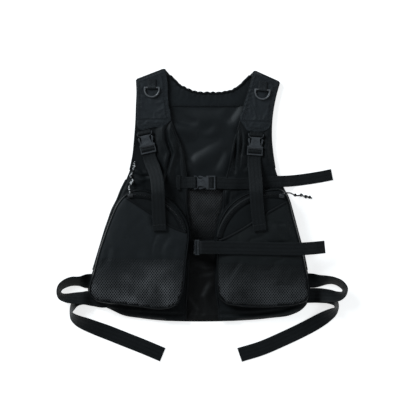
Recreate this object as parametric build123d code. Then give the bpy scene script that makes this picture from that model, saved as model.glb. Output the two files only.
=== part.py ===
from build123d import *
import math
import os

os.makedirs("parts", exist_ok=True)

# Safety harness vest, lying flat on its back with the fronts up.
# Millimetres. +X runs to the wearer's left, +Y to the shoulders, +Z away from
# the floor. The origin is on the floor below the middle of the whole outline.
# _r and _l are the wearer's right and left.

# ---- driving dimensions -------------------------------------------------
BACK_T = 2.0            # back panel thickness
YOKE_T = 1.2            # back yoke facing
FRONT_Z = 9.0           # underside of the front panels
FRONT_T = 2.0           # front panel thickness
FRONT_TOP = FRONT_Z + FRONT_T
WALL_T = 2.5            # seam wall width at the side and shoulder seams
PAD_T = 4.0             # shoulder pad thickness
PAD_TOP = FRONT_TOP + PAD_T
POCKET_TOP = 36.0       # top of the pocket gussets
RIM_INSET = 4.0         # how far the pocket face lies inside the gusset's foot
GUSSET_T = 1.8          # gusset wall
FACE_T = 2.0            # pocket face
FACE_TOP = POCKET_TOP + FACE_T
SLIP_GAP = 4.8          # clear depth of the mesh slip pocket
SLIP_T = 1.4
SLIP_INSET = 5.5
TAPE_T = 1.2            # zip tape
TAPE_HALF = 6.5
WEB_T = 1.3             # webbing thickness
WAIST_WEB = 32.0        # waist strap width
RING_R = 1.75           # D-ring wire radius
RING_HALF = 15.75       # half the D-ring's width, wire centre to wire centre
RING_LEG = 4.5
CORD_R = 1.6            # zip pull cord radius

BUCKLE_Z = 11.6         # floor to the underside level of the buckles
# overall buckle width, webbing width
SHOULDER_W, SHOULDER_WEB = 34.0, 29.0
CHEST_W, CHEST_WEB = 30.0, 25.0
WAIST_W, LOWER_WEB = 33.0, 28.0
BUCKLE_WALL = 2.3
ARM_PIVOT_U = 1.2

# zip arcs: centre x, centre y, radius, first and last tape angle, slider angle
ZIP_R = (-142.3, -64.5, 108.4, 101.0, 16.0, 97.0)
ZIP_L = (152.4, -72.3, 116.4, 75.0, 169.0, 79.0)

# ---- outlines (x, y) ----------------------------------------------------
ARMHOLE_R = [(-143.0, 297.0), (-141.9, 270.6), (-143.0, 242.0), (-144.1, 209.0), (-147.4, 165.0), (-150.7, 132.0), (-157.3, 99.0)]
SIDE_R = [(-166.1, 77.0), (-177.1, 55.0), (-185.9, 33.0), (-196.9, 11.0), (-204.6, -11.0), (-212.3, -33.0), (-218.9, -55.0), (-225.5, -77.0), (-232.1, -99.0), (-238.7, -121.0)]
LOW_R = [(-245.3, -143.0), (-249.7, -165.0), (-243.1, -181.5), (-227.7, -193.6)]
ARMHOLE_L = [(171.6, 291.5), (163.9, 264.0), (157.3, 231.0), (154.0, 198.0), (154.0, 165.0), (157.3, 132.0), (161.7, 103.4)]
SIDE_L = [(167.2, 85.8), (179.3, 59.4), (192.5, 33.0), (199.1, 11.0), (207.9, -22.0), (216.7, -55.0), (225.5, -88.0), (232.1, -121.0)]
LOW_L = [(236.5, -143.0), (239.4, -165.0), (236.5, -184.8), (229.9, -198.0), (218.9, -209.0)]
NECK = [(-69.3, 308.0), (-58.3, 297.0), (-47.3, 286.0), (-34.1, 279.4), (-20.9, 273.9), (3.3, 269.9), (25.3, 269.5), (47.3, 270.6), (67.1, 275.0), (84.7, 286.0), (95.7, 297.0), (106.7, 308.0)]
HEM = [(199.1, -218.9), (150.7, -226.6), (82.5, -232.1), (-3.3, -234.3), (-84.7, -232.1), (-135.3, -226.6), (-172.7, -220.0), (-196.9, -209.0)]
INNER_R = [(-80.3, 321.2), (-75.9, 297.0), (-73.7, 253.0), (-69.3, 226.6), (-62.7, 198.0), (-45.1, 154.0), (-34.1, 99.0), (-31.9, 77.0), (-31.9, 22.0), (-26.4, -22.0), (-24.2, -66.0), (-27.5, -110.0), (-29.7, -154.0), (-33.0, -193.6), (-34.1, -233.2)]
INNER_L = [(115.5, 316.8), (106.7, 286.0), (100.1, 264.0), (91.3, 235.4), (84.7, 209.0), (69.3, 154.0), (58.3, 99.0), (53.9, 83.6), (48.4, 48.4), (48.4, 22.0), (38.5, -11.0), (30.8, -44.0), (28.8, -77.0), (29.7, -132.0), (31.9, -176.0), (36.3, -204.6), (38.5, -233.2)]
HEM_R = [(-84.7, -232.1), (-135.3, -226.6), (-172.7, -220.0), (-196.9, -209.0)]
HEM_L = [(82.5, -232.1), (150.7, -226.6), (199.1, -218.9)]
PAD_R = [(-142.6, 295.9), (-81.2, 319.0), (-75.9, 297.0), (-73.7, 253.0), (-69.3, 226.6), (-67.1, 207.9), (-73.7, 201.3), (-84.7, 191.4), (-101.0, 192.6), (-132.0, 185.4), (-139.7, 191.4), (-142.8, 213.4), (-142.6, 253.0)]
PAD_L = [(170.5, 290.4), (115.9, 315.0), (106.7, 286.0), (100.1, 264.0), (91.3, 235.4), (84.7, 207.9), (90.2, 200.2), (99.2, 185.2), (135.3, 183.0), (148.5, 191.4), (153.8, 204.6), (156.9, 231.0), (163.0, 264.0)]
POCKET_R = [(-168.5, 44.7), (-159.5, 51.5), (-141.7, 57.4), (-128.0, 57.9), (-112.4, 53.7), (-91.3, 46.6), (-72.6, 36.7), (-53.9, 22.2), (-38.5, 2.2), (-29.7, -15.4), (-25.3, -36.1), (-25.3, -59.4), (-27.9, -81.0), (-31.0, -103.4), (-33.0, -125.4), (-35.0, -147.4), (-38.5, -167.2), (-44.0, -182.6), (-53.9, -197.1), (-69.3, -205.0), (-87.8, -207.5), (-133.1, -202.4), (-177.5, -196.9), (-210.1, -193.6), (-226.8, -189.9), (-239.8, -181.7), (-246.6, -171.6), (-247.5, -161.9), (-237.6, -125.4), (-225.9, -81.0), (-212.5, -40.7), (-197.1, 0.0), (-183.9, 27.5)]
POCKET_L = [(30.6, -48.4), (32.6, -28.6), (38.3, -10.6), (46.4, 5.5), (57.2, 20.2), (71.5, 33.4), (92.6, 46.4), (111.1, 52.8), (136.8, 56.3), (153.6, 59.0), (172.7, 58.1), (185.2, 48.4), (193.8, 29.7), (201.1, 0.0), (211.4, -37.4), (220.0, -70.4), (229.0, -111.5), (236.3, -153.6), (236.9, -176.9), (230.3, -190.5), (206.4, -197.8), (163.9, -202.0), (122.1, -203.1), (79.9, -200.0), (50.6, -193.6), (36.1, -179.1), (31.5, -153.6), (30.6, -111.5), (29.7, -79.2)]
MOUTH_R = [(-190.0, 54.0), (-163.9, 37.8), (-110.2, 3.1), (-56.1, -29.9), (-29.7, -38.5), (-12.1, -41.8)]
MOUTH_L = [(216.7, 46.2), (194.7, 33.0), (139.7, 1.1), (84.7, -34.1), (45.1, -53.9), (18.7, -61.6)]

# ---- webbing routes: the two edges of the waist straps at each station --
WAIST_EDGES_R = [
    ((-229.9, -161.3, 4.8), (-229.9, -129.4, 4.8)), ((-248.4, -159.7, 4.2), (-247.1, -130.7, 6.6)),
    ((-269.5, -156.2, 0.9), (-268.4, -134.6, 24.5)), ((-282.7, -155.8, 0.9), (-284.9, -135.1, 25.2)),
    ((-295.9, -159.1, 0.9), (-302.5, -142.1, 27.2)), ((-305.1, -163.9, 0.9), (-313.7, -153.1, 29.8)),
    ((-308.7, -169.4, 0.9), (-317.0, -168.3, 31.8)), ((-304.9, -172.5, 1.5), (-313.1, -182.2, 30.9)),
    ((-295.9, -172.7, 3.0), (-299.2, -190.5, 29.4)), ((-278.3, -170.3, 5.0), (-278.3, -193.8, 26.7)),
    ((-260.7, -168.5, 6.0), (-258.5, -195.1, 23.6)), ((-243.1, -169.4, 6.2), (-239.8, -199.3, 8.2)),
    ((-221.1, -172.0, 7.2), (-216.7, -203.7, 7.2)), ((-213.4, -171.6, 6.9), (-209.0, -203.3, 6.9)),
    ((-210.1, -171.2, 5.3), (-205.7, -202.8, 5.3)), ((-213.4, -170.3, 3.6), (-210.1, -202.2, 3.6)),
    ((-232.1, -168.1, 3.6), (-229.9, -199.8, 3.6)), ((-244.2, -167.6, 3.7), (-243.8, -198.4, 6.0)),
    ((-260.7, -169.0, 2.2), (-259.6, -196.0, 17.9)), ((-275.0, -174.9, 0.9), (-270.6, -199.1, 21.4)),
    ((-287.1, -194.7, 0.9), (-277.9, -206.6, 29.1)), ((-289.7, -211.2, 0.9), (-282.0, -212.1, 31.9)),
    ((-288.2, -228.1, 0.9), (-278.3, -215.6, 28.6)), ((-278.3, -241.6, 0.9), (-266.2, -220.7, 21.9)),
    ((-262.9, -251.5, 0.9), (-248.6, -226.2, 14.3)), ((-240.9, -261.6, 0.9), (-228.6, -233.2, 9.1)),
    ((-210.1, -273.9, 0.9), (-199.5, -243.8, 2.6)), ((-177.1, -287.1, 0.9), (-165.4, -257.4, 0.9)),
    ((-133.1, -304.5, 0.9), (-121.4, -274.8, 0.9)), ((-91.3, -322.1, 0.9), (-79.0, -292.6, 0.9)),
]
WAIST_EDGES_L = [
    ((223.3, -159.2, 4.4), (223.3, -127.6, 4.4)), ((242.2, -158.7, 4.0), (240.5, -129.5, 6.2)),
    ((261.8, -157.1, 0.9), (259.6, -131.3, 19.8)), ((275.0, -152.9, 0.9), (277.2, -132.9, 25.8)),
    ((289.3, -152.2, 0.9), (293.7, -136.4, 28.4)), ((302.9, -158.2, 0.9), (311.3, -145.6, 29.1)),
    ((310.0, -165.4, 0.9), (320.1, -160.6, 30.9)), ((307.8, -168.7, 1.5), (316.6, -175.1, 31.6)),
    ((298.1, -168.1, 3.5), (305.8, -186.1, 28.8)), ((284.9, -164.3, 6.0), (286.2, -191.0, 23.7)),
    ((269.5, -161.6, 6.0), (266.2, -191.5, 16.9)), ((251.9, -160.7, 6.0), (248.6, -191.5, 8.4)),
    ((227.7, -160.7, 7.4), (227.7, -192.6, 7.4)), ((220.0, -160.9, 7.1), (220.0, -192.8, 7.1)),
    ((216.7, -161.2, 5.3), (216.7, -193.1, 5.3)), ((220.0, -161.6, 3.5), (220.0, -193.3, 3.5)),
    ((236.5, -161.6, 3.4), (236.5, -193.1, 3.4)), ((256.3, -161.4, 1.2), (255.4, -193.1, 2.6)),
    ((273.9, -165.6, 0.9), (274.6, -193.7, 16.1)), ((287.1, -173.7, 0.9), (286.7, -196.6, 23.3)),
    ((297.9, -184.8, 0.9), (289.3, -197.6, 29.0)), ((302.1, -200.2, 0.9), (291.1, -202.0, 30.9)),
    ((298.1, -216.9, 0.9), (284.9, -203.7, 26.9)), ((284.2, -232.5, 0.9), (269.9, -209.4, 17.8)),
    ((260.7, -249.5, 0.9), (248.2, -220.4, 5.7)), ((227.7, -267.5, 0.9), (214.5, -238.3, 0.9)),
    ((183.7, -288.2, 0.9), (171.4, -258.7, 0.9)), ((138.8, -307.6, 0.9), (127.4, -277.6, 0.9)),
    ((88.9, -323.0, 0.9), (78.5, -292.6, 0.9)),
]
# free ends of the adjusting straps, from the ladder lock outwards (x, y, z)
TAIL_R = [(-114.6, 127.6, 13.9), (-107.6, 110.0, 18.0), (-99.4, 85.8, 30.0), (-95.7, 63.8, 42.5), (-94.9, 50.0, 47.0), (-94.6, 38.0, 47.6), (-93.9, 17.6, 46.8), (-92.6, -8.8, 46.0), (-91.1, -34.3, 45.4)]
TAIL_L = [(115.6, 126.4, 13.9), (116.4, 103.4, 19.0), (117.7, 82.0, 31.0), (118.6, 64.0, 42.5), (119.2, 52.0, 47.0), (119.8, 40.0, 47.6), (121.2, 20.0, 46.8), (123.8, -6.0, 46.0), (127.6, -34.5, 45.4)]
TAIL_CHEST = [(33.5, 70.9, 13.85), (53.9, 69.4, 13.8), (76.8, 68.8, 13.8), (84.7, 68.7, 12.9), (94.0, 68.9, 12.3), (133.1, 70.8, 12.3), (164.0, 73.2, 12.3), (182.0, 74.0, 12.2), (190.0, 74.4, 9.0), (200.0, 75.2, 3.6), (212.0, 76.4, 1.0), (234.3, 79.4, 0.8), (260.7, 83.6, 0.8), (287.1, 88.9, 0.8)]
TAIL_LOWER = [(-3.6, -70.3, 57.0), (-0.4, -70.3, 58.6), (5.0, -70.3, 58.2), (13.0, -70.3, 55.0), (24.0, -70.5, 50.6), (36.0, -70.8, 47.2), (48.0, -71.1, 45.9), (62.0, -71.4, 45.5), (84.7, -71.7, 45.5), (128.7, -72.6, 45.5), (172.7, -73.5, 45.5), (216.0, -73.6, 45.5), (224.0, -73.3, 44.3), (236.0, -72.6, 40.4), (252.0, -71.4, 34.6), (269.5, -69.7, 27.5)]
# buckle mouths: x, y, z of the mouth's middle on the underside level
MOUTH_SHOULDER_R, TURN_SHOULDER_R = (-119.0, 151.1, BUCKLE_Z), 13.0
MOUTH_SHOULDER_L, TURN_SHOULDER_L = (117.5, 146.7, BUCKLE_Z), -4.0
MOUTH_CHEST = (14.7, 71.3, BUCKLE_Z)
MOUTH_LOWER, PITCH_LOWER = (-5.5, -70.3, 37.0), 80.0
# D-ring bar centres and turns
RING_POS_R, RING_TURN_R = (-108.9, 279.5), 0.0
RING_POS_L, RING_TURN_L = (133.8, 274.6), -4.0
RING_Z = PAD_TOP + 3.35
# zip pull cords, from the slider's bridge to the end (x, y, z)
CORD_PATH_R = [(-155.9, 47.8, 45.2), (-157.0, 54.5, 44.2), (-159.0, 60.5, 37.5), (-157.0, 64.5, 27.5), (-152.0, 68.5, 18.5), (-150.0, 76.5, 13.4), (-156.6, 85.5, 13.0), (-150.4, 96.0, 13.0), (-148.4, 107.0, 13.4), (-146.6, 117.5, 12.9)]
CORD_PATH_L = [(176.2, 46.4, 45.2), (183.4, 48.6, 44.4), (191.5, 48.6, 38.6), (196.6, 47.4, 29.0), (199.6, 46.0, 19.0), (203.4, 44.2, 9.6), (210.4, 42.0, 3.2), (219.6, 43.8, 2.4), (228.6, 39.8, 2.1), (236.4, 39.4, 1.9), (243.4, 36.9, 1.9)]

EXPORTED = []


def put(name, *solids):
    """Write one node: one solid, or a group of separate solids."""
    shape = solids[0] if len(solids) == 1 else Compound(list(solids))
    export_step(shape, f"parts/{name}.step")
    EXPORTED.append(name)


def one(shape):
    """The single solid inside a boolean's result."""
    s = shape.solids()
    assert len(s) == 1, len(s)
    return s[0]


def prism(points, z0, z1):
    face = Face(Wire.make_polygon([(x, y, z0) for x, y in points], close=True))
    return Solid.extrude(face, Vector(0, 0, z1 - z0)) if face.normal_at().Z > 0 else Solid.extrude(-face, Vector(0, 0, z1 - z0))


def area(points):
    return sum(x0 * y1 - x1 * y0 for (x0, y0), (x1, y1) in zip(points, points[1:] + points[:1])) / 2


def inset(points, d):
    """The polygon with every edge moved inwards by d."""
    if area(points) < 0:
        points = points[::-1]
    out, n = [], len(points)
    for i in range(n):
        (ax, ay), (bx, by), (cx, cy) = points[i - 1], points[i], points[(i + 1) % n]
        l1, l2 = math.hypot(bx - ax, by - ay), math.hypot(cx - bx, cy - by)
        n1 = (-(by - ay) / l1, (bx - ax) / l1)
        n2 = (-(cy - by) / l2, (cx - bx) / l2)
        k = 1 + n1[0] * n2[0] + n1[1] * n2[1]
        out.append((bx + d * (n1[0] + n2[0]) / k, by + d * (n1[1] + n2[1]) / k))
    return out


def strip(line, d):
    """A band of width d to the left of an open line."""
    side, n = [], len(line)
    for i, (x, y) in enumerate(line):
        a, b = line[max(i - 1, 0)], line[min(i + 1, n - 1)]
        l = math.hypot(b[0] - a[0], b[1] - a[1])
        side.append((x - d * (b[1] - a[1]) / l, y + d * (b[0] - a[0]) / l))
    return line + side[::-1]


def ribbon(stations, width, thick):
    """A flat band through stations of (middle, direction of its width)."""
    mids = [Vector(*m) for m, _ in stations]
    dirs = [Vector(*d).normalized() for _, d in stations]
    wires = []
    for i, (m, d) in enumerate(zip(mids, dirs)):
        before = (m - mids[i - 1]).normalized() if i else None
        after = (mids[i + 1] - m).normalized() if i < len(mids) - 1 else None
        if before is None or after is None:
            t, grow = (after or before), 1.0
        else:
            t = (before + after).normalized()
            grow = 1.0 / max(0.6, t.dot(after))
        n = t.cross(d).normalized() * (thick / 2 * grow)
        w = d * (width / 2)
        wires.append(Wire.make_polygon([m - w - n, m + w - n, m + w + n, m - w + n], close=True))
    return Solid.make_loft(wires, ruled=True)


def twisted_ribbon(pairs, width, thick):
    """A band that twists, closed with flat triangles between its stations."""
    mids = [(Vector(*a) + Vector(*b)) * 0.5 for a, b in pairs]
    dirs = [(Vector(*b) - Vector(*a)).normalized() for a, b in pairs]
    rings = []
    for i, (m, d) in enumerate(zip(mids, dirs)):
        before = (m - mids[i - 1]).normalized() if i else (mids[1] - m).normalized()
        after = (mids[i + 1] - m).normalized() if i < len(mids) - 1 else before
        t = before + after
        t = t.normalized() if t.length > 0.05 else before
        grow = 1.0 / max(0.7, abs(t.dot(after)))
        n = t.cross(d).normalized() * (thick / 2 * grow)
        w = d * (width / 2)
        rings.append([m - w - n, m + w - n, m + w + n, m - w + n])

    def triangle(*corners):
        return Face(Wire.make_polygon(list(corners), close=True))
    faces = []
    for a, b in zip(rings, rings[1:]):
        for j in (0, 1):
            k = j + 1
            faces += [triangle(a[j], a[k], b[k]), triangle(a[j], b[k], b[j])]
        for j in (2, 3):
            k = (j + 1) % 4
            faces += [triangle(a[j], a[k], b[j]), triangle(a[k], b[k], b[j])]
    for end in (rings[0], rings[-1]):
        faces += [triangle(end[0], end[1], end[2]), triangle(end[0], end[2], end[3])]
    solid = Solid(Shell(faces))
    return solid


def from_edges(pairs):
    """Stations from the two edges of a band."""
    out = []
    for a, b in pairs:
        a, b = Vector(*a), Vector(*b)
        out.append((tuple((a + b) * 0.5), tuple(b - a)))
    return out


def run_stations(path):
    """Stations of a band whose width lies level, across its path."""
    out = []
    for i, p in enumerate(path):
        a, b = path[max(i - 1, 0)], path[min(i + 1, len(path) - 1)]
        out.append((p, (b[1] - a[1], a[0] - b[0], 0.0)))
    return out


# ---- body of the vest ---------------------------------------------------
back = ARMHOLE_R[::-1] and [(-80.3, 321.2)] + NECK + [(115.5, 316.8)] + ARMHOLE_L + SIDE_L + LOW_L + HEM + LOW_R[::-1] + SIDE_R[::-1] + ARMHOLE_R[::-1]
put("back_panel", prism(back, 0, BACK_T))

yoke = [(-78.5, 315.5)] + [(x, y - 0.6) for x, y in NECK] + [(113.5, 311.5), (165.6, 288.8), (158.0, 264.0), (155.2, 237.6), (-141.0, 237.6), (-140.6, 270.6), (-141.0, 292.4)]
put("back_yoke", prism(yoke, BACK_T, BACK_T + YOKE_T))

neck_edge = [(x, y - 0.6) for x, y in NECK]
put("neck_binding", prism(strip(neck_edge[::-1], 5.0), BACK_T + YOKE_T, BACK_T + YOKE_T + 1.6))

put("side_panel_r", prism(strip(SIDE_R, WALL_T), BACK_T, FRONT_Z))
put("side_panel_l", prism(strip(SIDE_L[::-1], WALL_T), BACK_T, FRONT_Z))
put("shoulder_seam_r", prism(strip([(-80.3, 321.2), (-143.0, 297.0)], WALL_T), BACK_T, FRONT_Z))
put("shoulder_seam_l", prism(strip([(171.6, 291.5), (115.5, 316.8)], WALL_T), BACK_T, FRONT_Z))

front_r = INNER_R + HEM_R + LOW_R[::-1] + SIDE_R[::-1] + ARMHOLE_R[::-1]
put("front_panel_r", prism(front_r, FRONT_Z, FRONT_TOP))
front_l = INNER_L + HEM_L + LOW_L[::-1] + SIDE_L[::-1] + ARMHOLE_L[::-1]
put("front_panel_l", prism(front_l, FRONT_Z, FRONT_TOP))
put("shoulder_pad_r", prism(PAD_R, FRONT_TOP, PAD_TOP))
put("shoulder_pad_l", prism(PAD_L, FRONT_TOP, PAD_TOP))


# ---- D-rings and their keepers ------------------------------------------
def d_ring():
    """Bar along X at the origin, the bow towards -Y."""
    bar = Cylinder(RING_R, 2 * RING_HALF, rotation=(0, 90, 0))
    bow = Pos(0, -RING_LEG, 0) * Torus(RING_HALF, RING_R)
    bow -= Pos(0, 50 - RING_LEG, 0) * Box(100, 100, 20)
    legs = [Pos(s * RING_HALF, -RING_LEG / 2, 0) * Cylinder(RING_R, RING_LEG, rotation=(90, 0, 0)) for s in (-1, 1)]
    ends = [Pos(s * RING_HALF, 0, 0) * Sphere(RING_R) for s in (-1, 1)]
    return one(bar + bow + legs[0] + legs[1] + ends[0] + ends[1])


def keeper():
    """A folded webbing tab sewn to the pad, its loop round the bar."""
    loop = Cylinder(3.3, 18, rotation=(0, 90, 0)) - Cylinder(2.05, 20, rotation=(0, 90, 0))
    patch = Pos(0, 10.4, -2.55) * Box(18, 16.8, 1.6)
    return one(loop + patch)


for tag, (rx, ry), turn in (("r", RING_POS_R, RING_TURN_R), ("l", RING_POS_L, RING_TURN_L)):
    at = Pos(rx, ry, RING_Z) * Rot(0, 0, turn)
    put(f"d_ring_{tag}", at * d_ring())
    put(f"ring_keeper_{tag}", at * keeper())

# ---- zipped pockets -----------------------------------------------------
for tag, foot, mouth, zipper in (("r", POCKET_R, MOUTH_R, ZIP_R), ("l", POCKET_L, MOUTH_L, ZIP_L)):
    def ring(points, z):
        return Wire.make_polygon([(x, y, z) for x, y in points], close=True)
    if area(foot) < 0:
        foot = foot[::-1]
    outer = Solid.make_loft([ring(foot, FRONT_TOP), ring(inset(foot, RIM_INSET), POCKET_TOP)], ruled=True)
    inner = Solid.make_loft([ring(inset(foot, GUSSET_T), FRONT_TOP), ring(inset(foot, RIM_INSET + GUSSET_T), POCKET_TOP)], ruled=True)
    put(f"pocket_gusset_{tag}", one(outer - inner))
    rim = inset(foot, RIM_INSET)
    put(f"pocket_face_{tag}", prism(rim, POCKET_TOP, FACE_TOP))
    base = inset(rim, SLIP_INSET - RIM_INSET)
    below = mouth + [(mouth[-1][0], -400.0), (mouth[0][0] * 1.5, -400.0)]
    if tag == "r":
        below = [(-400.0, 54.0)] + mouth + [(-12.1, -400.0), (-400.0, -400.0)]
    else:
        below = [(400.0, 46.2)] + mouth + [(18.7, -400.0), (400.0, -400.0)]
    shell = prism(base, FACE_TOP, FACE_TOP + SLIP_GAP + SLIP_T) - prism(inset(base, SLIP_T), FACE_TOP, FACE_TOP + SLIP_GAP)
    shell = shell & prism(below, FACE_TOP - 1, FACE_TOP + 20)
    put(f"slip_pocket_{tag}", one(shell))

    # zip tape with the chain as a rib, along an arc
    cx, cy, r, a0, a1, a_s = zipper
    steps = [a0 + (a1 - a0) * i / 24 for i in range(25)]

    def arc(rad):
        return [(cx + rad * math.cos(math.radians(a)), cy + rad * math.sin(math.radians(a))) for a in steps]
    tape = prism(arc(r - TAPE_HALF) + arc(r + TAPE_HALF)[::-1], FACE_TOP, FACE_TOP + TAPE_T)
    chain = prism(arc(r - 1.7) + arc(r + 1.7)[::-1], FACE_TOP + TAPE_T - 0.2, FACE_TOP + TAPE_T + 0.9)
    put(f"zip_tape_{tag}", one(tape + chain))

    # slider: plate over the chain and a bridge that the pull cord ties to
    plate = Pos(0, 0, 1.5) * Box(8.4, 11.0, 3.0)
    plate = chamfer(plate.edges().filter_by(Axis.Z), 1.8)
    bridge = Pos(0, 0, 4.1) * Box(2.2, 8.4, 2.4) - Pos(0, 0, 3.7) * Box(4, 5.0, 1.8)
    slider = plate + bridge
    where = Pos(cx + r * math.cos(math.radians(a_s)), cy + r * math.sin(math.radians(a_s)), FACE_TOP + TAPE_T + 1.2) * Rot(0, 0, a_s)
    put(f"zip_slider_{tag}", one(where * slider))

# ---- zip pull cords -----------------------------------------------------
for tag, path, knot in (("r", CORD_PATH_R, 8), ("l", CORD_PATH_L, 7)):
    radii = []
    for a, b, c in zip(path, path[1:], path[2:]):
        u, v = Vector(*b) - Vector(*a), Vector(*c) - Vector(*b)
        turn = math.radians(u.get_angle(v))
        radii.append(0.45 * min(u.length, v.length) / math.tan(turn / 2))
    line = FilletPolyline(*path, radius=radii)
    cord = sweep(Plane(origin=line @ 0, z_dir=line % 0) * Circle(CORD_R), path=line)
    kx, ky, kz = path[knot]
    print("cord", tag, "length", round(line.length, 1), "volume ratio", round(cord.volume / (math.pi * CORD_R ** 2 * line.length), 3), "radii", [round(x, 1) for x in radii])
    body = one(cord + Pos(kx + 0.2, ky + 0.15, kz + 0.95) * Rot(20, 35, 0) * Sphere(3.0))
    print("cord", tag, "with its knot", round(body.volume, 1), "tube alone", round(cord.volume, 1))
    put(f"pull_cord_{tag}", body)


# ---- side-release buckles -----------------------------------------------
# Local frame: +X from the mouth into the socket, +Y across, +Z up.
def socket(W):
    h = W / 2
    hi = h - BUCKLE_WALL
    half = [(0.0, 0.40 * W), (4.0, 0.38 * W), (8.0, 0.33 * W), (13.0, 0.29 * W), (18.0, 0.27 * W), (21.0, 0.275 * W)]
    waist = half + [(x, -y) for x, y in half[::-1]]
    collar = Pos(2.0, 0, 4.5) * Box(4.0, W, 7.8) - Pos(2.0, 0, 4.5) * Box(6.0, 2 * hi, 5.2)
    top = prism(waist, 7.1, 8.8)
    bottom = prism(waist, 0.2, 1.9)
    block = Pos(22.4, 0, 4.5) * Box(3.2, 0.54 * W, 8.6)
    wh = h - 2.1
    horn = [(20.8, 0.0), (20.8, 0.275 * W), (22.6, 0.37 * W), (25.5, h - 0.9), (29.0, h), (31.2, h), (31.6, h - 0.8), (31.2, wh + 0.2), (25.3, wh), (24.3, 0.85 * wh), (23.4, 0.5 * wh), (23.1, 0.0)]
    horns = prism(horn, 1.4, 7.6) + prism([(x, -y) for x, y in horn], 1.4, 7.6)
    bar = Pos(28.7, 0, 3.8) * Box(2.6, W - 1.5, 2.4)
    dish = Pos(12.0, 0, 8.8) * Cylinder(4.2, 0.9)
    return one(collar + top + bottom + block + horns + bar - dish)


def plug(W):
    h = W / 2
    base = Pos(-1.45, 0, 4.3) * Box(2.3, W - 0.4, 4.2)
    neck = Pos(1.4, 0, 4.5) * Box(3.6, 18.0 * W / 34.0, 4.2)
    prong = prism([(0.0, 2.4), (13.0, 2.4), (16.0, 1.2), (16.0, -1.2), (13.0, -2.4), (0.0, -2.4)], 3.0, 6.0)
    rails = [Pos(-8.9, s * (h - 1.1), 4.2) * Box(13.2, 2.2, 4.0) for s in (-1, 1)]
    middle = Pos(-7.3, 0, 4.3) * Box(4.2, W - 2, 2.4)
    end = Pos(-13.9, 0, 4.6) * Box(3.2, W, 2.9)
    return one(base + neck + prong + rails[0] + rails[1] + middle + end)


def latch(W, side):
    """One latch arm, at +Y for side 1 and at -Y for side -1."""
    h = W / 2
    hi = h - BUCKLE_WALL
    ha = hi - 0.4
    pts = [(ARM_PIVOT_U, ha), (9.5, ha), (10.9, ha + 0.3), (11.4, hi + 0.55), (13.0, hi + 1.0), (15.0, hi + 1.55), (17.0, h - 0.15), (19.0, h - 0.2), (20.4, h - 1.2), (20.9, h - 2.8), (20.2, h - 4.1), (16.5, h - 4.3), (12.0, ha - 2.2), (ARM_PIVOT_U, ha - 2.6)]
    arm = prism([(x, side * y) for x, y in pts], 2.3, 6.7)
    root = Pos(ARM_PIVOT_U, side * (ha - 1.3), 4.5) * Cylinder(1.3, 4.4)
    return one(arm + root)


def threaded(web, load, tail):
    """Local stations through the ladder lock; load is how far back the fixed end lies."""
    path = [(-3.9, 1.2), (-3.9, 5.2), (-4.9, 6.3), (-9.7, 6.3), (-10.7, 5.3), (-10.7, 3.3), (-11.9, 2.15), (-17.0, 2.15)]
    return [(-load, 0.55), (-5.0, 0.55)] + path


def anchor(web, far):
    """The sewn webbing end round the socket's bar."""
    path = [(far, 3.0), (33.5, 3.0), (31.2, 6.1), (26.4, 6.1), (26.4, 1.4), (far, 1.4)]
    return path


def local_band(frame, path, width):
    return [(tuple(frame.from_local_coords(Vector(u, 0, w))), tuple(frame.y_dir)) for u, w in path]


def shoulder_frame(m, turn):
    a = math.radians(turn)
    return Plane(origin=m, x_dir=(-math.sin(a), math.cos(a), 0), z_dir=(0, 0, 1))


p = math.radians(PITCH_LOWER)
frames = {
    "shoulder_r": (shoulder_frame(MOUTH_SHOULDER_R, TURN_SHOULDER_R), SHOULDER_W, SHOULDER_WEB, 52.0, TAIL_R),
    "shoulder_l": (shoulder_frame(MOUTH_SHOULDER_L, TURN_SHOULDER_L), SHOULDER_W, SHOULDER_WEB, 46.0, TAIL_L),
    "chest": (Plane(origin=MOUTH_CHEST, x_dir=(-1, 0, 0), z_dir=(0, 0, 1)), CHEST_W, CHEST_WEB, 60.0, TAIL_CHEST),
    "lower": (Plane(origin=MOUTH_LOWER, x_dir=(-math.cos(p), 0, -math.sin(p)), z_dir=(-math.sin(p), 0, math.cos(p))), WAIST_W, LOWER_WEB, None, TAIL_LOWER),
}
for name, (frame, W, web, load, tail) in frames.items():
    here = frame.location
    put(f"socket_{name}", here * socket(W))
    put(f"plug_{name}", here * plug(W))
    put(f"latch_{name}_a", here * latch(W, 1))
    put(f"latch_{name}_b", here * latch(W, -1))
    loop = [(-3.9, 1.3), (-3.9, 5.2), (-4.9, 6.3), (-9.7, 6.3), (-10.7, 5.3), (-10.7, 3.3), (-11.9, 2.15), (-17.0, 2.15)]
    if name == "lower":
        # the fixed side turns over above the buckle and comes down to the seam
        fixed = [(27.6, -70.3, 12.2), (26.6, -70.3, 20.0), (22.5, -70.3, 32.0), (16.0, -70.3, 43.0), (9.0, -70.3, 50.4), (3.2, -70.3, 53.8), (-0.4, -70.3, 54.2), (-2.5, -70.3, 53.0)]
        stations = [(q, (0, -1, 0)) for q in fixed] + local_band(frame, [(-14.2, 0.5), (-5.0, 0.5)] + loop, web)
    else:
        stations = local_band(frame, [(-load, 0.55), (-5.0, 0.55)] + loop, web)
    stations += run_stations(tail)
    put(f"strap_{name}", ribbon(stations, web, WEB_T))
    print(name, "strap stations", len(stations), "length", round(sum((Vector(*b[0]) - Vector(*a[0])).length for a, b in zip(stations, stations[1:])), 1))

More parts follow.
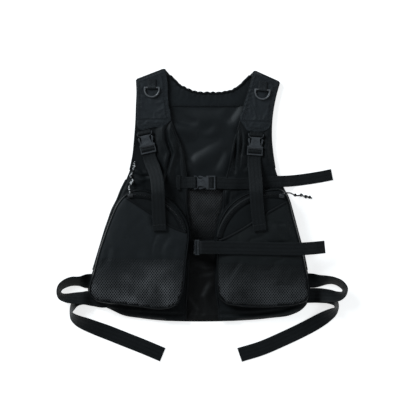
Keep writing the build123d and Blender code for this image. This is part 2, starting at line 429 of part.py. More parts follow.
# webbing ends that hold the sockets
def folded(frame, path, width):
    """A band folded along a path in the frame's X-Z plane, as one flat-sided solid."""
    sides = ([], [])
    for i, (x, z) in enumerate(path):
        a, b = path[max(i - 1, 0)], path[min(i + 1, len(path) - 1)]
        l1, l2 = math.hypot(x - a[0], z - a[1]) or 1.0, math.hypot(b[0] - x, b[1] - z) or 1.0
        n1, n2 = (-(z - a[1]) / l1, (x - a[0]) / l1), (-(b[1] - z) / l2, (b[0] - x) / l2)
        if i == 0:
            n1 = n2
        if i == len(path) - 1:
            n2 = n1
        k = WEB_T / 2 / (1 + n1[0] * n2[0] + n1[1] * n2[1])
        for s, side in zip((1, -1), sides):
            side.append((x + s * k * (n1[0] + n2[0]), z + s * k * (n1[1] + n2[1])))
    corners = [frame.from_local_coords(Vector(x, -width / 2, z)) for x, z in sides[0] + sides[1][::-1]]
    face = Face(Wire.make_polygon(corners, close=True))
    return Solid.extrude(face, Vector(*frame.y_dir) * width)


stub = [(35.4, 3.4), (33.6, 3.7), (31.2, 6.1), (26.35, 6.1), (26.35, 1.5), (35.4, 1.5)]
for name in ("shoulder_r", "shoulder_l"):
    frame, W, web = frames[name][:3]
    put(f"anchor_{name}", folded(frame, stub, web - 0.6))
frame, W, web = frames["chest"][:3]
# the two layers are sewn together past the loop
loop = folded(frame, [(40.0, 1.9), (38.0, 1.9), (34.6, 3.4), (31.2, 6.1), (26.35, 6.1), (26.35, 1.4), (29.5, 1.2), (33.5, 0.55), (40.0, 0.55)], web - 0.4)
sewn = Solid.make_box(33.0, web - 0.4, 2.65, Plane(origin=frame.from_local_coords(Vector(71.0, (web - 0.4) / 2, -0.1)), x_dir=-frame.x_dir, z_dir=frame.z_dir))
put("anchor_chest", one(loop + sewn))
tab_x = MOUTH_CHEST[0]
put("chest_tab", Solid.make_box(8.0, 33.0, 1.6, Plane(origin=(tab_x - 69.0, MOUTH_CHEST[1] - 16.5, BUCKLE_Z + 2.6))))
frame, W, web = frames["lower"][:3]
ly = MOUTH_LOWER[1]
low = []
for q in [(-44.0, ly, 4.2), (-17.5, ly, 4.1), (-13.6, ly, 4.8)]:
    v = frame.to_local_coords(Vector(*q))
    low.append((v.X, v.Z))
low += [(30.6, 1.4), (26.35, 1.4), (26.35, 6.1), (30.6, 6.1)]
for q in [(-19.6, ly, 6.7), (-23.0, ly, 6.2), (-44.0, ly, 6.2)]:
    v = frame.to_local_coords(Vector(*q))
    low.append((v.X, v.Z))
put("anchor_lower", folded(frame, low, web - 0.6))

# ---- waist straps -------------------------------------------------------
for tag, pairs in (("r", WAIST_EDGES_R), ("l", WAIST_EDGES_L)):
    stations = from_edges(pairs)
    put(f"waist_strap_{tag}", twisted_ribbon(pairs, WAIST_WEB, WEB_T))
    print("waist strap", tag, "length", round(sum((Vector(*b[0]) - Vector(*a[0])).length for a, b in zip(stations, stations[1:])), 1))

print(len(EXPORTED), "nodes")
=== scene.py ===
import math

import bmesh
import bpy
import numpy as np
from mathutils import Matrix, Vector, geometry


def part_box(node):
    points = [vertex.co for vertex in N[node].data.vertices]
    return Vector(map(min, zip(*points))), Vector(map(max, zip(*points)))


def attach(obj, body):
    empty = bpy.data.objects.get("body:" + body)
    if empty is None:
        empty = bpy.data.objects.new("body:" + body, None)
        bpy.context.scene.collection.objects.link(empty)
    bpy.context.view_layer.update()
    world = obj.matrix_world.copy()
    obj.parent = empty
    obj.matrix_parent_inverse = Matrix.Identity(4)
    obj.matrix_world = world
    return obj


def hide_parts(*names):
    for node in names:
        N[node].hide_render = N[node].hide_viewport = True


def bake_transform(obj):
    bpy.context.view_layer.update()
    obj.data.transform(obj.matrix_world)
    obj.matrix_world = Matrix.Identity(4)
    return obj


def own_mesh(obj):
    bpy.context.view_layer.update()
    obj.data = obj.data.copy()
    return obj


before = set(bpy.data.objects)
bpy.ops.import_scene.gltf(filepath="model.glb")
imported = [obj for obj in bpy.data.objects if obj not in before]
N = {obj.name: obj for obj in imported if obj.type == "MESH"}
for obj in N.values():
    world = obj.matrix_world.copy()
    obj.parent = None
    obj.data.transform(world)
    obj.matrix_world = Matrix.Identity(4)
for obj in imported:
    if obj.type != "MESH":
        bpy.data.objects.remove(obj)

MM = 0.001

# ------------------------------------------------------------------ outlines
# The same outlines as the CAD, in millimetres.
ARMHOLE_R = [(-143.0, 297.0), (-141.9, 270.6), (-143.0, 242.0), (-144.1, 209.0), (-147.4, 165.0), (-150.7, 132.0), (-157.3, 99.0)]
SIDE_R = [(-166.1, 77.0), (-177.1, 55.0), (-185.9, 33.0), (-196.9, 11.0), (-204.6, -11.0), (-212.3, -33.0), (-218.9, -55.0), (-225.5, -77.0), (-232.1, -99.0), (-238.7, -121.0)]
LOW_R = [(-245.3, -143.0), (-249.7, -165.0), (-243.1, -181.5), (-227.7, -193.6)]
ARMHOLE_L = [(171.6, 291.5), (163.9, 264.0), (157.3, 231.0), (154.0, 198.0), (154.0, 165.0), (157.3, 132.0), (161.7, 103.4)]
SIDE_L = [(167.2, 85.8), (179.3, 59.4), (192.5, 33.0), (199.1, 11.0), (207.9, -22.0), (216.7, -55.0), (225.5, -88.0), (232.1, -121.0)]
LOW_L = [(236.5, -143.0), (239.4, -165.0), (236.5, -184.8), (229.9, -198.0), (218.9, -209.0)]
NECK = [(-69.3, 308.0), (-58.3, 297.0), (-47.3, 286.0), (-34.1, 279.4), (-20.9, 273.9), (3.3, 269.9), (25.3, 269.5), (47.3, 270.6), (67.1, 275.0), (84.7, 286.0), (95.7, 297.0), (106.7, 308.0)]
HEM = [(199.1, -218.9), (150.7, -226.6), (82.5, -232.1), (-3.3, -234.3), (-84.7, -232.1), (-135.3, -226.6), (-172.7, -220.0), (-196.9, -209.0)]
INNER_R = [(-80.3, 321.2), (-75.9, 297.0), (-73.7, 253.0), (-69.3, 226.6), (-62.7, 198.0), (-45.1, 154.0), (-34.1, 99.0), (-31.9, 77.0), (-31.9, 22.0), (-26.4, -22.0), (-24.2, -66.0), (-27.5, -110.0), (-29.7, -154.0), (-33.0, -193.6), (-34.1, -233.2)]
INNER_L = [(115.5, 316.8), (106.7, 286.0), (100.1, 264.0), (91.3, 235.4), (84.7, 209.0), (69.3, 154.0), (58.3, 99.0), (53.9, 83.6), (48.4, 48.4), (48.4, 22.0), (38.5, -11.0), (30.8, -44.0), (28.8, -77.0), (29.7, -132.0), (31.9, -176.0), (36.3, -204.6), (38.5, -233.2)]
HEM_R = [(-84.7, -232.1), (-135.3, -226.6), (-172.7, -220.0), (-196.9, -209.0)]
HEM_L = [(82.5, -232.1), (150.7, -226.6), (199.1, -218.9)]
PAD_R = [(-142.6, 295.9), (-81.2, 319.0), (-75.9, 297.0), (-73.7, 253.0), (-69.3, 226.6), (-67.1, 207.9), (-73.7, 201.3), (-84.7, 191.4), (-101.0, 192.6), (-132.0, 185.4), (-139.7, 191.4), (-142.8, 213.4), (-142.6, 253.0)]
PAD_L = [(170.5, 290.4), (115.9, 315.0), (106.7, 286.0), (100.1, 264.0), (91.3, 235.4), (84.7, 207.9), (90.2, 200.2), (99.2, 185.2), (135.3, 183.0), (148.5, 191.4), (153.8, 204.6), (156.9, 231.0), (163.0, 264.0)]
POCKET_R = [(-168.5, 44.7), (-159.5, 51.5), (-141.7, 57.4), (-128.0, 57.9), (-112.4, 53.7), (-91.3, 46.6), (-72.6, 36.7), (-53.9, 22.2), (-38.5, 2.2), (-29.7, -15.4), (-25.3, -36.1), (-25.3, -59.4), (-27.9, -81.0), (-31.0, -103.4), (-33.0, -125.4), (-35.0, -147.4), (-38.5, -167.2), (-44.0, -182.6), (-53.9, -197.1), (-69.3, -205.0), (-87.8, -207.5), (-133.1, -202.4), (-177.5, -196.9), (-210.1, -193.6), (-226.8, -189.9), (-239.8, -181.7), (-246.6, -171.6), (-247.5, -161.9), (-237.6, -125.4), (-225.9, -81.0), (-212.5, -40.7), (-197.1, 0.0), (-183.9, 27.5)]
POCKET_L = [(30.6, -48.4), (32.6, -28.6), (38.3, -10.6), (46.4, 5.5), (57.2, 20.2), (71.5, 33.4), (92.6, 46.4), (111.1, 52.8), (136.8, 56.3), (153.6, 59.0), (172.7, 58.1), (185.2, 48.4), (193.8, 29.7), (201.1, 0.0), (211.4, -37.4), (220.0, -70.4), (229.0, -111.5), (236.3, -153.6), (236.9, -176.9), (230.3, -190.5), (206.4, -197.8), (163.9, -202.0), (122.1, -203.1), (79.9, -200.0), (50.6, -193.6), (36.1, -179.1), (31.5, -153.6), (30.6, -111.5), (29.7, -79.2)]
MOUTH_R = [(-190.0, 54.0), (-163.9, 37.8), (-110.2, 3.1), (-56.1, -29.9), (-29.7, -38.5), (-12.1, -41.8)]
MOUTH_L = [(216.7, 46.2), (194.7, 33.0), (139.7, 1.1), (84.7, -34.1), (45.1, -53.9), (18.7, -61.6)]
WAIST_EDGES_R = [
    ((-229.9, -161.3, 4.8), (-229.9, -129.4, 4.8)), ((-248.4, -159.7, 4.2), (-247.1, -130.7, 6.6)),
    ((-269.5, -156.2, 0.9), (-268.4, -134.6, 24.5)), ((-282.7, -155.8, 0.9), (-284.9, -135.1, 25.2)),
    ((-295.9, -159.1, 0.9), (-302.5, -142.1, 27.2)), ((-305.1, -163.9, 0.9), (-313.7, -153.1, 29.8)),
    ((-308.7, -169.4, 0.9), (-317.0, -168.3, 31.8)), ((-304.9, -172.5, 1.5), (-313.1, -182.2, 30.9)),
    ((-295.9, -172.7, 3.0), (-299.2, -190.5, 29.4)), ((-278.3, -170.3, 5.0), (-278.3, -193.8, 26.7)),
    ((-260.7, -168.5, 6.0), (-258.5, -195.1, 23.6)), ((-243.1, -169.4, 6.2), (-239.8, -199.3, 8.2)),
    ((-221.1, -172.0, 7.2), (-216.7, -203.7, 7.2)), ((-213.4, -171.6, 6.9), (-209.0, -203.3, 6.9)),
    ((-210.1, -171.2, 5.3), (-205.7, -202.8, 5.3)), ((-213.4, -170.3, 3.6), (-210.1, -202.2, 3.6)),
    ((-232.1, -168.1, 3.6), (-229.9, -199.8, 3.6)), ((-244.2, -167.6, 3.7), (-243.8, -198.4, 6.0)),
    ((-260.7, -169.0, 2.2), (-259.6, -196.0, 17.9)), ((-275.0, -174.9, 0.9), (-270.6, -199.1, 21.4)),
    ((-287.1, -194.7, 0.9), (-277.9, -206.6, 29.1)), ((-289.7, -211.2, 0.9), (-282.0, -212.1, 31.9)),
    ((-288.2, -228.1, 0.9), (-278.3, -215.6, 28.6)), ((-278.3, -241.6, 0.9), (-266.2, -220.7, 21.9)),
    ((-262.9, -251.5, 0.9), (-248.6, -226.2, 14.3)), ((-240.9, -261.6, 0.9), (-228.6, -233.2, 9.1)),
    ((-210.1, -273.9, 0.9), (-199.5, -243.8, 2.6)), ((-177.1, -287.1, 0.9), (-165.4, -257.4, 0.9)),
    ((-133.1, -304.5, 0.9), (-121.4, -274.8, 0.9)), ((-91.3, -322.1, 0.9), (-79.0, -292.6, 0.9)),
]
WAIST_EDGES_L = [
    ((223.3, -159.2, 4.4), (223.3, -127.6, 4.4)), ((242.2, -158.7, 4.0), (240.5, -129.5, 6.2)),
    ((261.8, -157.1, 0.9), (259.6, -131.3, 19.8)), ((275.0, -152.9, 0.9), (277.2, -132.9, 25.8)),
    ((289.3, -152.2, 0.9), (293.7, -136.4, 28.4)), ((302.9, -158.2, 0.9), (311.3, -145.6, 29.1)),
    ((310.0, -165.4, 0.9), (320.1, -160.6, 30.9)), ((307.8, -168.7, 1.5), (316.6, -175.1, 31.6)),
    ((298.1, -168.1, 3.5), (305.8, -186.1, 28.8)), ((284.9, -164.3, 6.0), (286.2, -191.0, 23.7)),
    ((269.5, -161.6, 6.0), (266.2, -191.5, 16.9)), ((251.9, -160.7, 6.0), (248.6, -191.5, 8.4)),
    ((227.7, -160.7, 7.4), (227.7, -192.6, 7.4)), ((220.0, -160.9, 7.1), (220.0, -192.8, 7.1)),
    ((216.7, -161.2, 5.3), (216.7, -193.1, 5.3)), ((220.0, -161.6, 3.5), (220.0, -193.3, 3.5)),
    ((236.5, -161.6, 3.4), (236.5, -193.1, 3.4)), ((256.3, -161.4, 1.2), (255.4, -193.1, 2.6)),
    ((273.9, -165.6, 0.9), (274.6, -193.7, 16.1)), ((287.1, -173.7, 0.9), (286.7, -196.6, 23.3)),
    ((297.9, -184.8, 0.9), (289.3, -197.6, 29.0)), ((302.1, -200.2, 0.9), (291.1, -202.0, 30.9)),
    ((298.1, -216.9, 0.9), (284.9, -203.7, 26.9)), ((284.2, -232.5, 0.9), (269.9, -209.4, 17.8)),
    ((260.7, -249.5, 0.9), (248.2, -220.4, 5.7)), ((227.7, -267.5, 0.9), (214.5, -238.3, 0.9)),
    ((183.7, -288.2, 0.9), (171.4, -258.7, 0.9)), ((138.8, -307.6, 0.9), (127.4, -277.6, 0.9)),
    ((88.9, -323.0, 0.9), (78.5, -292.6, 0.9)),
]
TAIL_R = [(-114.6, 127.6, 13.9), (-107.6, 110.0, 18.0), (-99.4, 85.8, 30.0), (-95.7, 63.8, 42.5), (-94.9, 50.0, 47.0), (-94.6, 38.0, 47.6), (-93.9, 17.6, 46.8), (-92.6, -8.8, 46.0), (-91.1, -34.3, 45.4)]
TAIL_L = [(115.6, 126.4, 13.9), (116.4, 103.4, 19.0), (117.7, 82.0, 31.0), (118.6, 64.0, 42.5), (119.2, 52.0, 47.0), (119.8, 40.0, 47.6), (121.2, 20.0, 46.8), (123.8, -6.0, 46.0), (127.6, -34.5, 45.4)]
TAIL_CHEST = [(33.5, 70.9, 13.85), (53.9, 69.4, 13.8), (76.8, 68.8, 13.8), (84.7, 68.7, 12.9), (94.0, 68.9, 12.3), (133.1, 70.8, 12.3), (164.0, 73.2, 12.3), (182.0, 74.0, 12.2), (190.0, 74.4, 9.0), (200.0, 75.2, 3.6), (212.0, 76.4, 1.0), (234.3, 79.4, 0.8), (260.7, 83.6, 0.8), (287.1, 88.9, 0.8)]
TAIL_LOWER = [(-3.6, -70.3, 57.0), (-0.4, -70.3, 58.6), (5.0, -70.3, 58.2), (13.0, -70.3, 55.0), (24.0, -70.5, 50.6), (36.0, -70.8, 47.2), (48.0, -71.1, 45.9), (62.0, -71.4, 45.5), (84.7, -71.7, 45.5), (128.7, -72.6, 45.5), (172.7, -73.5, 45.5), (216.0, -73.6, 45.5), (224.0, -73.3, 44.3), (236.0, -72.6, 40.4), (252.0, -71.4, 34.6), (269.5, -69.7, 27.5)]
ZIP_R = (-142.3, -64.5, 108.4, 101.0, 16.0, 97.0)
ZIP_L = (152.4, -72.3, 116.4, 75.0, 169.0, 79.0)
CORD_PATH_R = [(-155.9, 47.8, 45.2), (-157.0, 54.5, 44.2), (-159.0, 60.5, 37.5), (-157.0, 64.5, 27.5), (-152.0, 68.5, 18.5), (-150.0, 76.5, 13.4), (-156.6, 85.5, 13.0), (-150.4, 96.0, 13.0), (-148.4, 107.0, 13.4), (-146.6, 117.5, 12.9)]
CORD_PATH_L = [(176.2, 46.4, 45.2), (183.4, 48.6, 44.4), (191.5, 48.6, 38.6), (196.6, 47.4, 29.0), (199.6, 46.0, 19.0), (203.4, 44.2, 9.6), (210.4, 42.0, 3.2), (219.6, 43.8, 2.4), (228.6, 39.8, 2.1), (236.4, 39.4, 1.9), (243.4, 36.9, 1.9)]
CORD_R = 1.6
BUCKLE_Z = 11.6
WEB_T = 1.3


# ------------------------------------------------------------------- helpers
def curve_through(points, closed=False, step=3.0, corner=38.0):
    """Points along a smooth line through the given ones. Sharp turns stay sharp."""
    p = np.array(points, float)
    n = len(p)

    def sharp(i):
        if not closed and i in (0, n - 1):
            return True
        a, b = p[i] - p[i - 1], p[(i + 1) % n] - p[i]
        c = a @ b / (np.linalg.norm(a) * np.linalg.norm(b) + 1e-12)
        return math.degrees(math.acos(max(-1, min(1, c)))) > corner

    def tangent(i, j, end):
        """Direction at point i, on the run towards j."""
        if sharp(i):
            return end
        a, b = p[i] - p[i - 1], p[(i + 1) % n] - p[i]
        la, lb = np.linalg.norm(a), np.linalg.norm(b)
        t = a / la * lb + b / lb * la
        return t / (la + lb)

    out = []
    for i in range(n if closed else n - 1):
        j = (i + 1) % n
        run = p[j] - p[i]
        length = np.linalg.norm(run)
        unit = run / length
        ta, tb = tangent(i, j, unit), tangent(j, i, unit)
        k = max(1, int(round(length / step)))
        t = (np.arange(k) / k)[:, None]
        out.append((2 * t ** 3 - 3 * t ** 2 + 1) * p[i] + (t ** 3 - 2 * t ** 2 + t) * length * ta
                   + (-2 * t ** 3 + 3 * t ** 2) * p[j] + (t ** 3 - t ** 2) * length * tb)
    if not closed:
        out.append(p[-1:])
    return np.concatenate(out)


def even(line, step, closed=False):
    """The same line with points about step apart."""
    line = np.asarray(line, float)
    if closed:
        line = np.vstack([line, line[:1]])
    d = np.concatenate([[0], np.cumsum(np.linalg.norm(np.diff(line, axis=0), axis=1))])
    k = max(2, int(round(d[-1] / step)))
    s = np.linspace(0, d[-1], k + 1)
    out = np.stack([np.interp(s, d, line[:, c]) for c in range(line.shape[1])], 1)
    return out[:-1] if closed else out


def area(poly):
    x, y = poly[:, 0], poly[:, 1]
    return float((x * np.roll(y, -1) - np.roll(x, -1) * y).sum() / 2)


def inside(pts, poly):
    x, y = pts[:, 0][:, None], pts[:, 1][:, None]
    a, b = poly, np.roll(poly, -1, 0)
    crossing = ((a[:, 1] > y) != (b[:, 1] > y)) & (x < (b[:, 0] - a[:, 0]) * (y - a[:, 1]) / (b[:, 1] - a[:, 1] + 1e-12) + a[:, 0])
    return crossing.sum(1) % 2 == 1


def to_line(pts, line, closed=False):
    """Distance from points to a line, and how far along it (0 to 1) the nearest place is."""
    line = np.asarray(line, float)
    if closed:
        line = np.vstack([line, line[:1]])
    best = np.full(len(pts), 1e9)
    where = np.zeros(len(pts))
    side = np.zeros(len(pts))
    lengths = np.linalg.norm(np.diff(line, axis=0), axis=1)
    start = np.concatenate([[0], np.cumsum(lengths)])
    for i in range(len(line) - 1):
        a, run = line[i], line[i + 1] - line[i]
        t = np.clip(((pts - a) @ run) / (run @ run + 1e-12), 0, 1)
        off = pts - (a + t[:, None] * run)
        d = np.hypot(off[:, 0], off[:, 1])
        m = d < best
        best[m] = d[m]
        where[m] = (start[i] + t[m] * lengths[i]) / start[-1]
        side[m] = np.sign(run[0] * off[m, 1] - run[1] * off[m, 0])
    return best, where, side


def noise(x, y, scale, seed=0, octaves=3, rough=0.5):
    """Smooth seeded noise, about -1 to 1."""
    total, amp, norm = np.zeros_like(x), 1.0, 0.0
    for o in range(octaves):
        u, v = x / scale * 2 ** o + 13.7 * seed, y / scale * 2 ** o - 7.1 * seed
        i, j = np.floor(u).astype(np.int64), np.floor(v).astype(np.int64)
        fu, fv = u - i, v - j
        su, sv = fu * fu * fu * (fu * (fu * 6 - 15) + 10), fv * fv * fv * (fv * (fv * 6 - 15) + 10)

        def h(a, b):
            k = (a.astype(np.uint64) * np.uint64(374761393) + b.astype(np.uint64) * np.uint64(668265263) + np.uint64(seed * 97 + o * 31)) & np.uint64(0xFFFFFFFF)
            k = ((k ^ (k >> np.uint64(13))) * np.uint64(1274126177)) & np.uint64(0xFFFFFFFF)
            return ((k ^ (k >> np.uint64(16))) & np.uint64(0xFFFF)).astype(float) / 32767.5 - 1
        val = (h(i, j) * (1 - su) + h(i + 1, j) * su) * (1 - sv) + (h(i, j + 1) * (1 - su) + h(i + 1, j + 1) * su) * sv
        total += amp * val
        norm += amp
        amp *= rough
    return total / norm


def crease(x, y, line, height, width, one_side=0.0):
    """A fold along a line: a ridge that fades towards its ends. one_side makes one flank steeper."""
    d, s, side = to_line(np.stack([x, y], 1), line)
    w = width * (1 + one_side * side)
    fade = np.sin(np.pi * np.clip(s, 0.001, 0.999)) ** 0.7
    return height * np.exp(-(d / w) ** 2) * fade


def fold(x, y, line, height, width, lean=1.0):
    """A fold that leans over: a ridge along a line with a valley beside it, on the side that lean gives."""
    d, s, side = to_line(np.stack([x, y], 1), line)
    t = d * side * lean / width
    fade = np.sin(np.pi * np.clip(s, 0.001, 0.999)) ** 0.6
    return height * fade * (np.exp(-(t ** 2) / 1.6) - 0.75 * np.exp(-((t - 1.7) / 0.8) ** 2))


def groove(x, y, line, depth, width, ridge=0.55):
    """A narrow crease pressed in between two soft ridges."""
    d, s, _ = to_line(np.stack([x, y], 1), line)
    fade = np.sin(np.pi * np.clip(s, 0.001, 0.999)) ** 0.5
    return depth * fade * (ridge * np.exp(-((d - 2.9 * width) / (1.7 * width)) ** 2) - np.exp(-(d / width) ** 2))


def wrinkles(x, y, scale, seed, sharp=3.2):
    """Thin random creases, 0 to 1."""
    n = noise(x + 0.3 * scale * noise(x, y, scale * 1.4, seed + 40), y, scale, seed, 2)
    m = smoothstep(noise(x, y, scale * 1.8, seed + 60, 1) * 1.4 + 0.3)
    return np.clip(1 - sharp * np.abs(n), 0, 1) ** 2 * m


def smoothstep(t):
    t = np.clip(t, 0, 1)
    return t * t * (3 - 2 * t)


def new_object(name, verts, faces, body, fabric=None, smooth=True, mat=None):
    me = bpy.data.meshes.new(name)
    me.from_pydata([tuple(v) for v in (np.asarray(verts, float) * MM)], [], faces)
    me.validate(clean_customdata=False)
    me.update()
    if smooth:
        me.polygons.foreach_set("use_smooth", [True] * len(me.polygons))
    if fabric is not None:
        a = me.attributes.new("fab", "FLOAT_VECTOR", "POINT")
        a.data.foreach_set("vector", np.asarray(fabric, np.float32).ravel())
    o = bpy.data.objects.new(name, me)
    bpy.context.scene.collection.objects.link(o)
    if mat is not None:
        me.materials.append(mat)
    if body is not None:
        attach(o, body)
    return o


def fill(outline, pitch, keep=None):
    """Triangles inside an outline, with evenly spread points. Returns 2-D points and triangles."""
    outline = np.asarray(outline, float)
    lo, hi = outline.min(0), outline.max(0)
    rows = np.arange(lo[1], hi[1], pitch * 0.866)
    grid = []
    for r, y in enumerate(rows):
        xs = np.arange(lo[0] + (pitch / 2 if r % 2 else 0), hi[0], pitch)
        grid.append(np.stack([xs, np.full_like(xs, y)], 1))
    grid = np.concatenate(grid)
    grid = grid[inside(grid, outline)]
    d, _, _ = to_line(grid, outline, closed=True)
    grid = grid[d > pitch * 0.6]
    pts = np.vstack([outline, grid])
    n = len(outline)
    res = geometry.delaunay_2d_cdt([Vector(v) for v in pts], [(i, (i + 1) % n) for i in range(n)], [], 1, 1e-5)
    got = np.array([tuple(v) for v in res[0]])
    tris = [tuple(f) for f in res[2]]
    a = got
    tris = [t if (a[t[1], 0] - a[t[0], 0]) * (a[t[2], 1] - a[t[0], 1]) - (a[t[1], 1] - a[t[0], 1]) * (a[t[2], 0] - a[t[0], 0]) > 0 else t[::-1] for t in tris]
    return got, tris


def settle(o, n, free, grow, pressure, cap, frames=14):
    """Let the upper face of a panel, a little larger than its seams, buckle as cloth. free says how far each point may go."""
    before = np.empty(len(o.data.vertices) * 3)
    o.data.vertices.foreach_get("co", before)
    before = before.reshape(-1, 3)
    held = o.vertex_groups.new(name="held")
    for i in range(len(before)):
        held.add([i], float(1.0 if i >= n else 1.0 - 0.97 * min(1.0, free[i])), "REPLACE")
    mod = o.modifiers.new("cloth", "CLOTH")
    c = mod.settings
    c.quality = 5
    c.mass = 0.25
    c.tension_stiffness = c.compression_stiffness = 18
    c.shear_stiffness = 6
    c.bending_stiffness = 0.25
    c.air_damping = 2.0
    c.use_pressure = True
    c.uniform_pressure_force = pressure
    c.shrink_min = -grow
    c.vertex_group_mass = "held"
    c.effector_weights.gravity = 0
    mod.collision_settings.use_collision = False
    mod.point_cache.frame_start, mod.point_cache.frame_end = 1, frames
    scene = bpy.context.scene
    for f in range(1, frames + 1):
        scene.frame_set(f)
    got = o.evaluated_get(bpy.context.evaluated_depsgraph_get()).to_mesh()
    after = np.empty(len(got.vertices) * 3)
    got.vertices.foreach_get("co", after)
    after = after.reshape(-1, 3)
    o.modifiers.remove(mod)
    scene.frame_set(1)
    move = np.nan_to_num(after - before)
    size = np.linalg.norm(move, axis=1) + 1e-12
    limit = cap * MM * np.concatenate([np.clip(free, 0, 1), np.zeros(len(before) - n)])
    move *= (limit * np.tanh(size / (limit + 1e-9)) / size)[:, None]
    move[:, 2] = np.maximum(move[:, 2], -0.45 * MM)
    o.data.vertices.foreach_set("co", (before + move).ravel())
    o.vertex_groups.clear()
    o.data.update()


def slab(name, outline, pitch, top, bottom, body, mat, loose=None):
    """A closed soft panel between two height functions of x, y and the distance to its edge."""
    pts, tris = fill(outline, pitch)
    d, _, _ = to_line(pts, outline, closed=True)
    x, y = pts[:, 0], pts[:, 1]
    zt, zb = top(x, y, d), bottom(x, y, d)
    n = len(pts)
    verts = np.vstack([np.column_stack([pts, zt]), np.column_stack([pts, zb])])
    faces = list(tris) + [tuple(i + n for i in t[::-1]) for t in tris]
    count = {}
    for t in tris:
        for a, b in ((t[0], t[1]), (t[1], t[2]), (t[2], t[0])):
            count[(a, b)] = True
    for (a, b) in list(count):
        if (b, a) not in count:
            faces.append((b, a, a + n, b + n))
    fab = np.column_stack([verts[:, 0], verts[:, 1], np.zeros(len(verts))])
    o = new_object(name, verts, faces, body, fab, mat=mat)
    if loose is not None:
        free, grow, pressure, cap = loose
        settle(o, n, free(x, y, d), grow, pressure, cap)
    return o


def frames_along(path, closed=False, up=(0, 0, 1)):
    path = np.asarray(path, float)
    if closed:
        t = np.roll(path, -1, 0) - np.roll(path, 1, 0)
    else:
        t = np.gradient(path, axis=0)
    t /= np.linalg.norm(t, axis=1)[:, None] + 1e-12
    up = np.broadcast_to(np.asarray(up, float), path.shape)
    side = np.cross(up, t)
    side /= np.linalg.norm(side, axis=1)[:, None] + 1e-12
    return t, side, np.cross(t, side)


def sweep(name, path, section, body, mat, closed=False, up=(0, 0, 1), scale=None):
    """A section of (across, up) points carried along a line."""
    path = np.asarray(path, float)
    t, side, nor = frames_along(path, closed, up)
    sec = np.asarray(section, float)
    m = len(sec)
    k = np.ones(len(path)) if scale is None else np.asarray(scale)
    verts = (path[:, None] + side[:, None] * (sec[:, 0][None, :, None] * k[:, None, None]) + nor[:, None] * (sec[:, 1][None, :, None] * k[:, None, None])).reshape(-1, 3)
    n = len(path)
    faces = []
    for i in range(n if closed else n - 1):
        j = (i + 1) % n
        for a in range(m):
            b = (a + 1) % m
            faces.append((i * m + a, i * m + b, j * m + b, j * m + a))
    if not closed:
        faces.append(tuple(range(m))[::-1])
        faces.append(tuple((n - 1) * m + a for a in range(m)))
    dist = np.concatenate([[0], np.cumsum(np.linalg.norm(np.diff(path, axis=0), axis=1))])
    around = np.arange(m) / m * 2 * np.pi * max(abs(sec).max(), 0.5)
    fab = np.stack([np.broadcast_to(around, (n, m)), np.broadcast_to(dist[:, None], (n, m)), np.zeros((n, m))], 2).reshape(-1, 3)
    o = new_object(name, verts, faces, body, fab, mat=mat)
    fix_normals(o)
    return o


def fix_normals(o):
    bm = bmesh.new()
    bm.from_mesh(o.data)
    bmesh.ops.recalc_face_normals(bm, faces=bm.faces)
    bm.to_mesh(o.data)
    bm.free()


def circle(r, k=10, flat=1.0):
    return [(r * math.cos(2 * math.pi * i / k), r * flat * math.sin(2 * math.pi * i / k)) for i in range(k)]


def band_section(width, thick, k=9, ribs=0.0):
    """Webbing's cross-section: flat, with rounded selvedges."""
    h, r = width / 2, thick / 2
    pts = []
    xs = np.linspace(-h + r, h - r, k)
    for x in xs:
        pts.append((x, r))
    pts += [(h - r * 0.3, r * 0.72), (h, 0.0), (h - r * 0.3, -r * 0.72)]
    for x in xs[::-1]:
        pts.append((x, -r))
    pts += [(-h + r * 0.3, -r * 0.72), (-h, 0.0), (-h + r * 0.3, r * 0.72)]
    return np.array(pts)


def webbing(name, mids, dirs, width, thick, body, mat, step=2.2, sag=None):
    """A woven strap through stations of a middle point and a width direction."""
    mids, dirs = np.asarray(mids, float), np.asarray(dirs, float)
    dirs /= np.linalg.norm(dirs, axis=1)[:, None]
    both = curve_through(np.hstack([mids, dirs * 12.0]), False, step, corner=400)
    path, d = both[:, :3], both[:, 3:]
    d /= np.linalg.norm(d, axis=1)[:, None]
    t = np.gradient(path, axis=0)
    t /= np.linalg.norm(t, axis=1)[:, None] + 1e-12
    nor = np.cross(t, d)
    nor /= np.linalg.norm(nor, axis=1)[:, None] + 1e-12
    sec = band_section(width, thick)
    m, n = len(sec), len(path)
    verts = (path[:, None] + d[:, None] * sec[:, 0][None, :, None] + nor[:, None] * sec[:, 1][None, :, None]).reshape(-1, 3)
    faces = []
    for i in range(n - 1):
        for a in range(m):
            b = (a + 1) % m
            faces.append((i * m + a, i * m + b, (i + 1) * m + b, (i + 1) * m + a))
    faces.append(tuple(range(m))[::-1])
    faces.append(tuple((n - 1) * m + a for a in range(m)))
    dist = np.concatenate([[0], np.cumsum(np.linalg.norm(np.diff(path, axis=0), axis=1))])
    fab = np.stack([np.broadcast_to(sec[:, 0], (n, m)), np.broadcast_to(dist[:, None], (n, m)), np.broadcast_to(sec[:, 1], (n, m))], 2).reshape(-1, 3)
    o = new_object(name, verts, faces, body, fab, mat=mat)
    fix_normals(o)
    return o, path, d, nor


